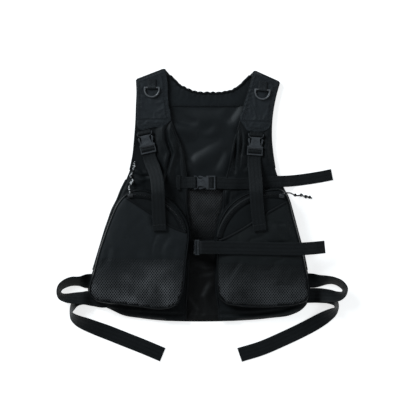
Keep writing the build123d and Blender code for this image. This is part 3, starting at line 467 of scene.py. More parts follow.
def stitches(name, lines, body, mat, length=3.0, gap=1.3, r=0.33, sink=0.0, up=None):
    """Rows of thread stitches lying along lines of 3-D points."""
    verts, faces = [], []
    k = 6
    for li, line in enumerate(lines):
        line = even(line, 0.8)
        d = np.concatenate([[0], np.cumsum(np.linalg.norm(np.diff(line, axis=0), axis=1))])
        s = gap
        while s + length < d[-1]:
            ss = np.linspace(s, s + length, 5)
            p = np.stack([np.interp(ss, d, line[:, c]) for c in range(3)], 1)
            u = np.array([0, 0, 1.0]) if up is None else np.asarray(up[li] if isinstance(up, list) else up, float)
            t, side, nor = frames_along(p, up=u)
            lift = np.array([-0.5, 0.25, 0.45, 0.25, -0.5]) * r * 1.5 - sink
            p = p + nor * lift[:, None]
            rad = np.array([0.45, 0.95, 1.0, 0.95, 0.45]) * r
            base = len(verts)
            for i in range(5):
                for a in range(k):
                    c, q = math.cos(2 * math.pi * a / k), math.sin(2 * math.pi * a / k)
                    verts.append(p[i] + side[i] * c * rad[i] + nor[i] * q * rad[i])
            for i in range(4):
                for a in range(k):
                    b = (a + 1) % k
                    faces.append((base + i * k + a, base + i * k + b, base + (i + 1) * k + b, base + (i + 1) * k + a))
            faces.append(tuple(base + a for a in range(k))[::-1])
            faces.append(tuple(base + 4 * k + a for a in range(k)))
            s += length + gap
    o = new_object(name, np.array(verts), faces, body, np.array(verts), mat=mat)
    fix_normals(o)
    return o


# ----------------------------------------------------------------- materials
def material(name):
    m = bpy.data.materials.new(name)
    m.use_nodes = True
    nt = m.node_tree
    nt.nodes.clear()
    out = nt.nodes.new("ShaderNodeOutputMaterial")
    b = nt.nodes.new("ShaderNodeBsdfPrincipled")
    nt.links.new(b.outputs[0], out.inputs[0])
    return m, nt, b


def math_node(nt, op, a, b=None):
    n = nt.nodes.new("ShaderNodeMath")
    n.operation = op
    for i, v in enumerate((a, b)):
        if v is None:
            continue
        if isinstance(v, (int, float)):
            n.inputs[i].default_value = v
        else:
            nt.links.new(v, n.inputs[i])
    return n.outputs[0]


def fabric_coords(nt):
    at = nt.nodes.new("ShaderNodeAttribute")
    at.attribute_name = "fab"
    sep = nt.nodes.new("ShaderNodeSeparateXYZ")
    nt.links.new(at.outputs["Vector"], sep.inputs[0])
    return at.outputs["Vector"], sep.outputs[0], sep.outputs[1]


def colour_mix(nt, factor, a, b):
    n = nt.nodes.new("ShaderNodeMix")
    n.data_type = "RGBA"
    if isinstance(factor, (int, float)):
        n.inputs[0].default_value = factor
    else:
        nt.links.new(factor, n.inputs[0])
    n.inputs[6].default_value = (*a, 1)
    n.inputs[7].default_value = (*b, 1)
    return n.outputs[2]


def noise_node(nt, vec, scale, detail=3.0, rough=0.55):
    n = nt.nodes.new("ShaderNodeTexNoise")
    n.inputs["Scale"].default_value = scale
    n.inputs["Detail"].default_value = detail
    n.inputs["Roughness"].default_value = rough
    nt.links.new(vec, n.inputs["Vector"])
    return n.outputs[0]


def bump(nt, bsdf, height, strength, distance):
    n = nt.nodes.new("ShaderNodeBump")
    n.inputs["Strength"].default_value = strength
    n.inputs["Distance"].default_value = distance
    nt.links.new(height, n.inputs["Height"])
    nt.links.new(n.outputs[0], bsdf.inputs["Normal"])


def weave_cloth(name, dark, light, rough, spec, pitch=1.1, depth=0.12, sheen=0.0, blotch=0.02):
    """Plain weave: threads over and under, uneven dye, a little fluff."""
    m, nt, b = material(name)
    vec, u, v = fabric_coords(nt)
    k = math.pi / pitch
    su = math_node(nt, "SINE", math_node(nt, "MULTIPLY", u, k))
    sv = math_node(nt, "SINE", math_node(nt, "MULTIPLY", v, k))
    weave = math_node(nt, "MULTIPLY", su, sv)
    threads = math_node(nt, "MAXIMUM", math_node(nt, "MULTIPLY", math_node(nt, "ABSOLUTE", su), 0.6), math_node(nt, "ABSOLUTE", sv))
    height = math_node(nt, "ADD", math_node(nt, "MULTIPLY", weave, 0.5), threads)
    grain = noise_node(nt, vec, 0.9, 2.0)
    height = math_node(nt, "ADD", height, math_node(nt, "MULTIPLY", grain, 0.8))
    patch = noise_node(nt, vec, blotch, 4.0)
    fine = noise_node(nt, vec, 0.35, 2.0)
    f = math_node(nt, "ADD", math_node(nt, "MULTIPLY", patch, 0.75), math_node(nt, "MULTIPLY", fine, 0.35))
    nt.links.new(colour_mix(nt, f, dark, light), b.inputs["Base Color"])
    r = math_node(nt, "ADD", math_node(nt, "MULTIPLY", patch, 0.16), rough - 0.08)
    nt.links.new(r, b.inputs["Roughness"])
    b.inputs["Specular IOR Level"].default_value = spec
    b.inputs["Sheen Weight"].default_value = sheen
    b.inputs["Sheen Roughness"].default_value = 0.45
    bump(nt, b, height, 0.55, depth * MM)
    return m


def webbing_cloth(name, dark, light, rough, spec):
    """Ribbed webbing: lengthwise cords crossed by fine picks, and broad lengthwise bands."""
    m, nt, b = material(name)
    vec, u, v = fabric_coords(nt)
    ribs = math_node(nt, "ABSOLUTE", math_node(nt, "SINE", math_node(nt, "MULTIPLY", u, math.pi / 2.1)))
    picks = math_node(nt, "SINE", math_node(nt, "ADD", math_node(nt, "MULTIPLY", v, math.pi / 0.85), math_node(nt, "MULTIPLY", u, 1.5)))
    height = math_node(nt, "ADD", ribs, math_node(nt, "MULTIPLY", picks, 0.35))
    bands = math_node(nt, "ABSOLUTE", math_node(nt, "SINE", math_node(nt, "MULTIPLY", u, math.pi / 8.4)))
    height = math_node(nt, "ADD", height, math_node(nt, "MULTIPLY", bands, 1.2))
    grain = noise_node(nt, vec, 0.8, 2.0)
    height = math_node(nt, "ADD", height, math_node(nt, "MULTIPLY", grain, 0.5))
    patch = noise_node(nt, vec, 0.05, 4.0)
    f = math_node(nt, "MULTIPLY", math_node(nt, "ADD", math_node(nt, "MULTIPLY", patch, 0.75), math_node(nt, "MULTIPLY", ribs, 0.40)), math_node(nt, "ADD", math_node(nt, "MULTIPLY", bands, 0.75), 0.5))
    nt.links.new(colour_mix(nt, f, dark, light), b.inputs["Base Color"])
    nt.links.new(math_node(nt, "ADD", math_node(nt, "MULTIPLY", patch, 0.2), rough - 0.1), b.inputs["Roughness"])
    b.inputs["Specular IOR Level"].default_value = spec
    b.inputs["Sheen Weight"].default_value = 0.05
    bump(nt, b, height, 0.7, 0.22 * MM)
    return m


def object_coords(nt):
    t = nt.nodes.new("ShaderNodeTexCoord")
    return t.outputs["Object"]


def moulded(name, dark, light, rough, spec, scale=900.0):
    """Moulded plastic or painted metal: fine grain, faint scuffs and slightly paler worn patches."""
    m, nt, b = material(name)
    vec = object_coords(nt)
    grain = noise_node(nt, vec, scale, 3.0)
    wear = noise_node(nt, vec, scale * 0.12, 5.0, 0.65)
    nt.links.new(colour_mix(nt, wear, dark, light), b.inputs["Base Color"])
    nt.links.new(math_node(nt, "ADD", math_node(nt, "MULTIPLY", wear, 0.25), rough - 0.12), b.inputs["Roughness"])
    b.inputs["Specular IOR Level"].default_value = spec
    bump(nt, b, grain, 0.25, 0.05 * MM)
    return m


SHELL = weave_cloth("shell_cloth", (0.0022, 0.0031, 0.0036), (0.0078, 0.0100, 0.0114), 0.54, 0.17, 1.3, 0.14)
YOKE_CLOTH = weave_cloth("yoke_cloth", (0.0040, 0.0056, 0.0066), (0.0130, 0.0165, 0.0190), 0.54, 0.20, 1.3, 0.14)
TAB = webbing_cloth("tab_webbing", (0.0050, 0.0064, 0.0076), (0.0160, 0.0195, 0.0225), 0.55, 0.25)
TRIM = weave_cloth("trim_tape", (0.0018, 0.0024, 0.0029), (0.0062, 0.0078, 0.0090), 0.56, 0.17, 0.9, 0.05)
PAD = weave_cloth("pad_cloth", (0.0072, 0.0092, 0.0112), (0.0230, 0.0278, 0.0325), 0.60, 0.24, 1.5, 0.22, 0.0, 0.05)
WEB = webbing_cloth("strap_webbing", (0.0022, 0.0029, 0.0034), (0.0082, 0.0102, 0.0116), 0.55, 0.17)
THREAD = weave_cloth("thread", (0.0060, 0.0072, 0.0084), (0.0160, 0.0185, 0.0210), 0.5, 0.3, 0.4)
PLASTIC = moulded("buckle_plastic", (0.018, 0.020, 0.023), (0.074, 0.081, 0.090), 0.24, 0.85)
METAL = moulded("ring_metal", (0.055, 0.058, 0.062), (0.135, 0.140, 0.150), 0.32, 0.8)
SLIDER = moulded("slider_metal", (0.016, 0.017, 0.019), (0.060, 0.062, 0.066), 0.30, 0.6)
TEETH = moulded("zip_teeth", (0.004, 0.005, 0.006), (0.012, 0.013, 0.015), 0.32, 0.5)


def ramp(nt, value, low, high):
    n = nt.nodes.new("ShaderNodeMapRange")
    n.interpolation_type = "SMOOTHSTEP"
    nt.links.new(value, n.inputs["Value"])
    n.inputs["From Min"].default_value, n.inputs["From Max"].default_value = low, high
    return n.outputs[0]


def net_cloth(name, low, high, dull, bright, seed):
    """Knitted net painted paler towards one end and in uneven patches: a painted sheen on its strands."""
    m, nt, b = material(name)
    vec, u, v = fabric_coords(nt)
    patch = noise_node(nt, vec, 0.014 + 0.0008 * seed, 2.0)
    pale = math_node(nt, "MULTIPLY", ramp(nt, v, low, high), math_node(nt, "ADD", math_node(nt, "MULTIPLY", ramp(nt, patch, 0.30, 0.66), 0.75), 0.25))
    knit = noise_node(nt, vec, 0.9, 2.0)
    f = math_node(nt, "MULTIPLY", pale, math_node(nt, "ADD", math_node(nt, "MULTIPLY", knit, 0.8), 0.6))
    nt.links.new(colour_mix(nt, f, dull, bright), b.inputs["Base Color"])
    nt.links.new(math_node(nt, "ADD", math_node(nt, "MULTIPLY", knit, 0.2), 0.38), b.inputs["Roughness"])
    b.inputs["Specular IOR Level"].default_value = 0.22
    bump(nt, b, knit, 0.5, 0.08 * MM)
    return m


# Painted sheen: the side nets are paler towards the bottom, and the left net is a dimmer copy of the right one, as
# painted shade. The back net is paler towards the top: painted light above, painted shade low between the pockets.
NET_R = net_cloth("mesh_net_right", -84.0, -158.0, (0.0070, 0.0090, 0.0104), (0.136, 0.139, 0.146), 1)
NET_L_SHADED = net_cloth("mesh_net_left", -98.0, -174.0, (0.0048, 0.0064, 0.0070), (0.070, 0.073, 0.077), 4)
NET_BACK = net_cloth("mesh_net_back", -66.0, 30.0, (0.0026, 0.0030, 0.0034), (0.064, 0.063, 0.065), 7)


def two_cloths(name, above, below, level, blend, rough=0.5, spec=0.20, pitch=1.3, depth=0.14):
    """Cloth whose lower part is darker, as painted shade: the backing seen through a net, and the lining low between
    the pockets.
    """
    m, nt, b = material(name)
    vec, u, v = fabric_coords(nt)
    patch = noise_node(nt, vec, 0.02, 4.0)
    fine = noise_node(nt, vec, 0.5, 2.0)
    k = math.pi / pitch
    weave = math_node(nt, "MULTIPLY", math_node(nt, "SINE", math_node(nt, "MULTIPLY", u, k)), math_node(nt, "SINE", math_node(nt, "MULTIPLY", v, k)))
    f = math_node(nt, "ADD", math_node(nt, "MULTIPLY", patch, 0.75), math_node(nt, "MULTIPLY", fine, 0.35))
    n = nt.nodes.new("ShaderNodeMix")
    n.data_type = "RGBA"
    nt.links.new(ramp(nt, v, level, level + blend), n.inputs[0])
    nt.links.new(colour_mix(nt, f, *below), n.inputs[6])
    nt.links.new(colour_mix(nt, f, *above), n.inputs[7])
    nt.links.new(n.outputs[2], b.inputs["Base Color"])
    nt.links.new(math_node(nt, "ADD", math_node(nt, "MULTIPLY", patch, 0.18), rough), b.inputs["Roughness"])
    b.inputs["Specular IOR Level"].default_value = spec
    bump(nt, b, math_node(nt, "ADD", weave, math_node(nt, "MULTIPLY", fine, 1.2)), 0.55, depth * MM)
    return m


# Painted shade: the lining darkens below, low between the pockets, and the slip cloths darken towards the bottom,
# behind the net. The left slip cloth is a dimmer, shaded copy of the right one.
LINING = two_cloths("satin_lining", ((0.0023, 0.0036, 0.0046), (0.0072, 0.0104, 0.0126)), ((0.0005, 0.0006, 0.0007), (0.0016, 0.0019, 0.0021)), -96.0, 60.0, 0.45, 0.30, 0.8, 0.05)
SLIP_R = two_cloths("slip_cloth_right", ((0.0046, 0.0062, 0.0072), (0.0155, 0.0190, 0.0215)), ((0.0007, 0.0008, 0.0010), (0.0018, 0.0022, 0.0025)), -164.0, 62.0)
SLIP_L_SHADED = two_cloths("slip_cloth_left", ((0.0030, 0.0042, 0.0046), (0.0098, 0.0125, 0.0135)), ((0.0006, 0.0008, 0.0009), (0.0016, 0.0020, 0.0022)), -172.0, 62.0)


def fleck_cord(name, share, pale):
    """Braided black cord with light reflective flecks that zigzag round it."""
    m, nt, b = material(name)
    vec = object_coords(nt)
    n1 = nt.nodes.new("ShaderNodeTexVoronoi")
    n1.inputs["Scale"].default_value = 420.0
    nt.links.new(vec, n1.inputs["Vector"])
    sel = math_node(nt, "GREATER_THAN", n1.outputs["Color"], share)
    nt.links.new(colour_mix(nt, sel, (0.006, 0.006, 0.007), (pale, pale, pale)), b.inputs["Base Color"])
    nt.links.new(math_node(nt, "ADD", math_node(nt, "MULTIPLY", n1.outputs["Distance"], 0.3), 0.4), b.inputs["Roughness"])
    b.inputs["Specular IOR Level"].default_value = 0.35
    bump(nt, b, n1.outputs["Distance"], 0.6, 0.2 * MM)
    return m


# One flecked cord in two copies: the flecks are the cord's own, but the first copy's brighter flecks are painted light
# and the second copy's dimmer, fewer flecks are painted shade.
CORD = fleck_cord("flecked_cord", 0.56, 0.62)
CORD_SHADED = fleck_cord("shaded_flecked_cord", 0.74, 0.20)

# -------------------------------------------------------------------- camera
cam_data = bpy.data.cameras.new("camera")
cam = bpy.data.objects.new("camera", cam_data)
bpy.context.scene.collection.objects.link(cam)
bpy.context.scene.camera = cam
VIEW = Vector((-0.0033, 0.033, 0.0))
cam_data.sensor_width = 36.0
cam_data.lens = 36.0 * 5.0 / 0.880
cam.location = (VIEW.x, VIEW.y, 5.0)
cam.rotation_euler = (0, 0, 0)
cam_data.clip_start, cam_data.clip_end = 0.1, 50

# --------------------------------------------------------------------- cords
def cord_object(name, route, body, node, knots, mat, lift=None):
    cu = bpy.data.curves.new(name, "CURVE")
    cu.dimensions = "3D"
    sp = cu.splines.new("NURBS")
    sp.points.add(len(route) - 1)
    for p, q in zip(sp.points, route):
        p.co = (q[0] * MM, q[1] * MM, q[2] * MM, 1)
    sp.order_u = 3
    sp.use_endpoint_u = True
    cu.resolution_u = 12
    guide = bpy.data.objects.new(name + "_route", cu)
    bpy.context.scene.collection.objects.link(guide)
    bpy.context.view_layer.update()
    line = bpy.data.meshes.new_from_object(guide)
    pts = np.array([tuple(v.co) for v in line.vertices]) / MM
    bpy.data.objects.remove(guide)
    bpy.data.meshes.remove(line)
    if np.linalg.norm(pts[0] - np.array(route[0])) > np.linalg.norm(pts[-1] - np.array(route[0])):
        pts = pts[::-1]
    t = np.gradient(pts, axis=0)
    t /= np.linalg.norm(t, axis=1)[:, None]
    side = np.cross([0.35, -0.9, 0.25], t)
    side /= np.linalg.norm(side, axis=1)[:, None]
    o = sweep(name, pts, circle(CORD_R, 14), body, mat, up=np.cross(t, side))
    # overhand knots: small three-lobed closed loops of the same cord
    made = []
    for i, (kx, ky, kz, size) in enumerate(knots):
        loop = []
        for k in range(48):
            a = 2 * math.pi * k / 48
            r = (2.3 + 0.9 * math.cos(3 * a)) * size
            x, y = r * math.cos(2 * a) * 0.8, r * math.sin(2 * a) * 0.8
            turn = 1.1 * i
            loop.append((kx + x * math.cos(turn) - y * math.sin(turn), ky + x * math.sin(turn) + y * math.cos(turn), kz + 0.9 + 1.05 * size * math.sin(3 * a)))
        knot = sweep(f"{name.replace('cord', 'knot')}_{i + 1}", loop, circle(1.35, 8), body, mat, closed=True)
        made.append(knot)
    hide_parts(node)
    [tuple(q * MM) for q in pts]
    if lift:
        for piece in [o] + made:
            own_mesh(piece)
    return o


cord_object("pull_cord_right", CORD_PATH_R, "zip_r", "pull_cord_r", [(*CORD_PATH_R[8], 1.0), (-154.2, 71.0, 17.0, 0.85), (-154.6, 86.0, 13.4, 0.95)], CORD)
cord_object("pull_cord_left", CORD_PATH_L, "zip_l", "pull_cord_l", [(*CORD_PATH_L[7], 1.05), (205.5, 43.7, 7.6, 0.95), (229.6, 40.4, 2.2, 1.15), (237.6, 39.2, 2.0, 1.0)], CORD_SHADED, "unzip_l")

# ------------------------------------------------------------ floor and light
bpy.ops.mesh.primitive_plane_add(size=9.0, location=(0, 0, -0.0002))
floor = bpy.context.object
floor.name = "floor"
fm, fnt, fb = material("floor_paper")
fb.inputs["Base Color"].default_value = (0.86, 0.86, 0.86, 1)
fb.inputs["Roughness"].default_value = 0.9
fb.inputs["Specular IOR Level"].default_value = 0.1
fb.inputs["Emission Color"].default_value = (1, 1, 1, 1)
fb.inputs["Emission Strength"].default_value = 0.72
floor.data.materials.append(fm)


def softbox(name, at, size, power, target=(0, 0, 0)):
    d = bpy.data.lights.new(name, "AREA")
    d.shape = "RECTANGLE"
    d.size, d.size_y = size
    d.energy = power
    d.color = (0.84, 0.94, 1.0)
    o = bpy.data.objects.new(name, d)
    o.location = at
    o.rotation_mode = "QUATERNION"
    o.rotation_quaternion = (Vector(target) - Vector(at)).to_track_quat("-Z", "Y")
    bpy.context.scene.collection.objects.link(o)
    return o


softbox("key", (-1.9, 1.7, 1.7), (1.3, 1.3), 66.0)
softbox("fill", (2.1, 0.3, 1.5), (1.2, 1.6), 11.0)
softbox("front", (0.3, -2.4, 1.3), (2.0, 0.8), 6.0)
world = bpy.data.worlds.new("world")
bpy.context.scene.world = world
world.use_nodes = True
bg = world.node_tree.nodes["Background"]
bg.inputs[0].default_value = (0.93, 0.97, 1.0, 1)
bg.inputs[1].default_value = 0.13
bpy.context.scene.view_settings.view_transform = "Standard"

# ---------------------------------------------------------------- back panel
BACK = curve_through([(-80.3, 321.2)] + NECK + [(115.5, 316.8)] + ARMHOLE_L + SIDE_L + LOW_L + HEM + LOW_R[::-1] + SIDE_R[::-1] + ARMHOLE_R[::-1], True, 4.0)
PITCH = 3.6


def back_top(x, y, d):
    middle = smoothstep((235 - y) / 12) * smoothstep((y - 40) / 40)
    z = 2.0 + 0.9 * noise(x, y, 70, 3) * middle
    warp = 12 * noise(x, y, 80, 5, 2)
    z += middle * 1.2 * np.maximum(0, noise(x + warp, y * 0.6 - warp, 46, 7, 2)) ** 1.2
    z += fold(x, y, [(-44, 98), (-12, 117), (20, 135), (54, 148)], 4.3, 15, 1)
    z += fold(x, y, [(-80, 208), (-56, 192), (-30, 184), (-8, 182)], 5.6, 12, 1)
    z += fold(x, y, [(99, 244), (88, 218), (76, 200), (60, 190)], 4.4, 12, -1)
    z += fold(x, y, [(-44, 214), (-8, 208), (34, 209), (66, 218)], 2.2, 15, 1)
    z += fold(x, y, [(44, 192), (26, 176), (4, 166)], 1.8, 11, -1)
    z += fold(x, y, [(66, 140), (52, 114), (42, 90)], 2.6, 10, -1)
    z += fold(x, y, [(-52, 150), (-38, 120), (-30, 92)], 2.6, 9, 1)
    # the middle of the back, seen between the pockets
    low = smoothstep((-90 - y) / 20)
    z += low * 0.9 * np.maximum(0, noise(x * 0.6, y, 26, 11, 3))
    z += fold(x, y, [(-36, -88), (-12, -102), (10, -112), (32, -106)], 3.4, 7, -1)
    z += fold(x, y, [(-34, -186), (-14, -206), (-24, -232)], 3.2, 7, 1)
    z += fold(x, y, [(26, -146), (8, -180), (16, -222)], 2.8, 8, -1)
    z += fold(x, y, [(-34, -128), (0, -140), (34, -134)], 1.8, 8, 1)
    z += crease(x, y, [(-60, -219), (0, -222), (60, -219)], 1.0, 3, 0)
    z = 2.0 + np.maximum(z - 2.0, -0.7)
    return 0.9 + (z - 0.9) * np.sqrt(np.clip(1 - (1 - np.minimum(d / 3.0, 1)) ** 2, 0, 1))


def back_bottom(x, y, d):
    return 0.9 - 0.7 * np.sqrt(np.clip(1 - (1 - np.minimum(d / 3.0, 1)) ** 2, 0, 1))


def back_free(x, y, d):
    """Loose only where the front is open; the rest lies flat under the panels."""
    fr = np.array(INNER_R)
    fl = np.array(INNER_L)
    xr = np.interp(y, fr[::-1, 1], fr[::-1, 0])
    xl = np.interp(y, fl[::-1, 1], fl[::-1, 0])
    return smoothstep((x - xr + 6) / 14) * smoothstep((xl + 6 - x) / 14) * smoothstep((d - 3) / 10) * smoothstep((234 - y) / 14)


back = slab("back_lining", BACK, PITCH, back_top, back_bottom, "vest", LINING, (back_free, 0.02, 0.15, 1.6))
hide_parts("back_panel")

# yoke facing, gathered along the neck
YOKE = curve_through([(-78.5, 315.5)] + [(x, y - 0.6) for x, y in NECK] + [(113.5, 311.5), (165.6, 288.8), (158.0, 264.0), (155.2, 237.6), (-141.0, 237.6), (-140.6, 270.6), (-141.0, 292.4)], True, 3.0)
NECK_LINE = np.array(NECK)


def yoke_top(x, y, d):
    dn, s, _ = to_line(np.stack([x, y], 1), NECK_LINE)
    gather = 1.5 * np.exp(-dn / 11) * np.sin(s * 54 + 2.4 * noise(x, y, 16, 21, 2)) ** 2
    z = 3.4 + 0.5 * noise(x, y, 45, 23) + gather + 0.8 * np.maximum(0, noise(x, y * 0.7, 20, 25))
    return 2.4 + (z - 2.4) * np.sqrt(np.clip(1 - (1 - np.minimum(d / 2.5, 1)) ** 2, 0, 1))


yoke = slab("back_yoke_facing", YOKE, PITCH * 0.8, yoke_top, lambda x, y, d: 2.2 + 0 * x, "vest", YOKE_CLOTH)
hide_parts("back_yoke")
neck = curve_through([(x, y - 1.4) for x, y in NECK], False, 1.2)
along = np.concatenate([[0], np.cumsum(np.hypot(*np.diff(neck, axis=0).T))])
loose = smoothstep((neck[:, 0] + 52) / 18) * smoothstep((84 - neck[:, 0]) / 16)
ripple = (np.sin(along / 2.05 + 2.2 * noise(neck[:, 0], neck[:, 1], 22, 33, 2)) * (0.75 + 0.5 * noise(neck[:, 0], neck[:, 1], 16, 35)) + 0.7 * noise(neck[:, 0], neck[:, 1], 9, 31)) * (0.35 + 0.95 * loose)
neck3 = np.column_stack([neck[:, 0], neck[:, 1] - 0.4 + 0.95 * ripple, 3.5 + 0.3 * ripple])
nb = sweep("neck_binding_tape", neck3, circle(2.9, 14, 1.0), "vest", TRIM)
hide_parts("neck_binding")

# -------------------------------------------------------------- front panels
SEAM_R = np.array(SIDE_R + LOW_R + HEM_R[::-1])
SEAM_L = np.array(SIDE_L + LOW_L + HEM_L[::-1])


# webbing that lies close over the fronts, where the cloth stays flat: x, y of its middle line and its half width
LYING = [
    ([(-111.9, 181.0), (-119.0, 151.1), (-130.7, 100.4)], 19.0), ([(119.6, 176.6), (117.5, 146.7), (114.3, 100.8)], 19.0),
    ([(-56.3, 71.3), (14.7, 71.3), (76.0, 69.0), (133.0, 70.8), (200.0, 75.0)], 14.5), ([(-44.0, -70.3), (34.0, -70.3)], 15.0),
]


def strap_cover(x, y):
    """1 in the open, 0 under straps and buckles."""
    k = np.ones_like(x)
    for line, half in LYING:
        d, _, _ = to_line(np.stack([x, y], 1), line)
        k = np.minimum(k, smoothstep((d - half) / 7.0))
    return k


def front_free(x, y, d):
    return strap_cover(x, y) * smoothstep((d - 3.5) / 8.0)


def front_height(x, y, seam, folds, seed):
    ds, _, _ = to_line(np.stack([x, y], 1), seam)
    z = 10.9 - 4.6 * np.exp(-(ds / 5.0) ** 2)
    flat = strap_cover(x, y)
    z += (0.5 * noise(x, y, 60, seed) + 1.3 * np.maximum(0, noise(x + 5 * noise(x, y, 40, seed + 2), y * 0.4, 18, seed + 1)) ** 1.2) * flat
    for line, h, w, o in folds:
        z += fold(x, y, line, h, w, o) if o else groove(x, y, line, h, w)
    z -= 0.9 * wrinkles(x, y * 0.8, 40, seed + 5) * flat
    return z


FOLDS_R = [
    ([(-70.6, 208), (-78, 186), (-76.6, 165), (-66, 136), (-74, 104), (-80.5, 70)], 5.6, 2.6, 0),
    ([(-60, 196), (-52, 160), (-46, 120), (-44, 84)], 2.2, 2.4, 0),
    ([(-148, 92), (-132, 84), (-112, 86)], 2.4, 2.4, 0),
    ([(-72, 208), (-86, 188), (-92, 162), (-88, 138), (-78, 116), (-72, 96), (-78, 70)], 3.4, 9, -1),
    ([(-70, 196), (-60, 164), (-60, 130), (-66, 100)], 3.2, 7, 1),
    ([(-58, 180), (-46, 140), (-40, 104), (-38, 66)], 3.2, 4, 1),
    ([(-152, 112), (-140, 92), (-126, 72)], 2.4, 6, 1),
    ([(-166, 70), (-150, 74), (-128, 68)], 1.6, 5, -1),
    ([(-140, 200), (-141, 176), (-146, 150)], 0.9, 5, 1),
    ([(-240, -206), (-160, -219), (-90, -223), (-36, -225)], 3.6, 4, 1),
    ([(-232, -198), (-170, -210), (-80, -214), (-34, -212)], 2.2, 4, -1),
    ([(-60, 36), (-46, 14), (-40, -14)], 2.0, 5, 1),
    ([(-44, 60), (-38, 30), (-36, 0)], 1.2, 4, -1),
]
FOLDS_L = [
    ([(71, 198), (60.5, 160), (53.6, 104)], 3.6, 2.3, 0),
    ([(80, 200), (75, 160), (72, 90)], 4.4, 2.3, 0),
    ([(86, 198), (88, 160), (82, 102)], 3.6, 2.2, 0),
    ([(84, 206), (79, 168), (70, 128), (62, 92)], 2.4, 6, 1),
    ([(95, 200), (91, 168), (84, 132), (74, 98)], 2.2, 6, -1),
    ([(73, 184), (62, 134), (56, 94)], 1.6, 5, 1),
    ([(146, 184), (142, 146), (147, 108)], 3.0, 6, 1),
    ([(60, 64), (54, 42), (52, 16)], 1.8, 4, 1),
    ([(38, -225), (110, -224), (180, -215), (226, -200)], 3.6, 4, 1),
    ([(38, -210), (110, -212), (190, -206)], 2.2, 4, -1),
    ([(92, 96), (112, 100), (128, 92)], 1.6, 5, 1),
    ([(158, 96), (170, 74), (180, 60)], 1.8, 6, -1),
]


def front_panel(name, outline, seam, folds, seed, node):
    poly = curve_through(outline, True, 3.0)

    def top(x, y, d):
        z = front_height(x, y, seam, folds, seed)
        mid = z - 1.0
        return mid + 1.0 * np.sqrt(np.clip(1 - (1 - np.minimum(d / 2.2, 1)) ** 2, 0, 1))

    def bottom(x, y, d):
        z = front_height(x, y, seam, folds, seed)
        mid = z - 1.0
        return mid - 0.9 * np.sqrt(np.clip(1 - (1 - np.minimum(d / 2.2, 1)) ** 2, 0, 1))
    o = slab(name, poly, 2.7, top, bottom, "vest", SHELL, (front_free, 0.03, 0.4, 2.0))
    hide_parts(node)
    return o


o = front_panel("front_right", INNER_R + HEM_R + LOW_R[::-1] + SIDE_R[::-1] + ARMHOLE_R[::-1], SEAM_R, FOLDS_R, 41, "front_panel_r")
o = front_panel("front_left", INNER_L + HEM_L + LOW_L[::-1] + SIDE_L[::-1] + ARMHOLE_L[::-1], SEAM_L, FOLDS_L, 51, "front_panel_l")


def edge_tape(name, line, seam, folds, seed, inwards, body="vest", r=2.6, flat=0.55, lift=0.2):
    """Binding folded over a panel's edge."""
    p = curve_through(line, False, 3.0)
    t, side, _ = frames_along(np.column_stack([p, np.zeros(len(p))]))
    q = p + side[:, :2] * inwards
    z = front_height(q[:, 0], q[:, 1], seam, folds, seed) - 1.0 + lift
    return sweep(name, np.column_stack([q, z]), circle(r, 12, flat), body, TRIM)


def on_panel(line, seam, folds, seed, lift=0.0):
    p = curve_through(line, False, 2.5)
    z = front_height(p[:, 0], p[:, 1], seam, folds, seed) + lift
    return np.column_stack([p, z])


for tag, inner, arm, seam, folds, seed, s in (("right", INNER_R, ARMHOLE_R, SEAM_R, FOLDS_R, 41, 1), ("left", INNER_L, ARMHOLE_L, SEAM_L, FOLDS_L, 51, -1)):
    o = edge_tape(f"front_edge_{tag}", inner, seam, folds, seed, -1.6 if s > 0 else 1.6)
    o = edge_tape(f"armhole_edge_{tag}", arm, seam, folds, seed, 1.4 if s > 0 else -1.4)

# side walls and shoulder seams: soft rounded seams between front and back
for tag, line, out, node in (("right", SIDE_R, -1, "side_panel_r"), ("left", SIDE_L, 1, "side_panel_l")):
    p = curve_through(line, False, 3.0)
    path = np.column_stack([p[:, 0] - out * 1.6, p[:, 1], np.full(len(p), 5.2)])
    o = sweep(f"side_seam_{tag}", path, circle(3.4, 14, 1.05), "vest", SHELL)
    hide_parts(node)
for tag, ends, node in (("right", ((-82.5, 318.9), (-141.5, 296.2)), "shoulder_seam_r"), ("left", ((169.5, 291.1), (117.2, 314.6)), "shoulder_seam_l")):
    a, b = ends
    path = [(a[0] + (b[0] - a[0]) * i / 12, a[1] + (b[1] - a[1]) * i / 12, 5.6) for i in range(13)]
    o = sweep(f"shoulder_fold_{tag}", path, circle(3.3, 14, 1.2), "vest", SHELL)
    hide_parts(node)

# ------------------------------------------------------------- shoulder pads
def PAD_SEAM(x):
    """Height on the vest of the seam across each pad, above its tapered end."""
    return np.where(x < 0, 209.0 + 0.02 * (x + 105), 205.0 - 0.03 * (x - 120))


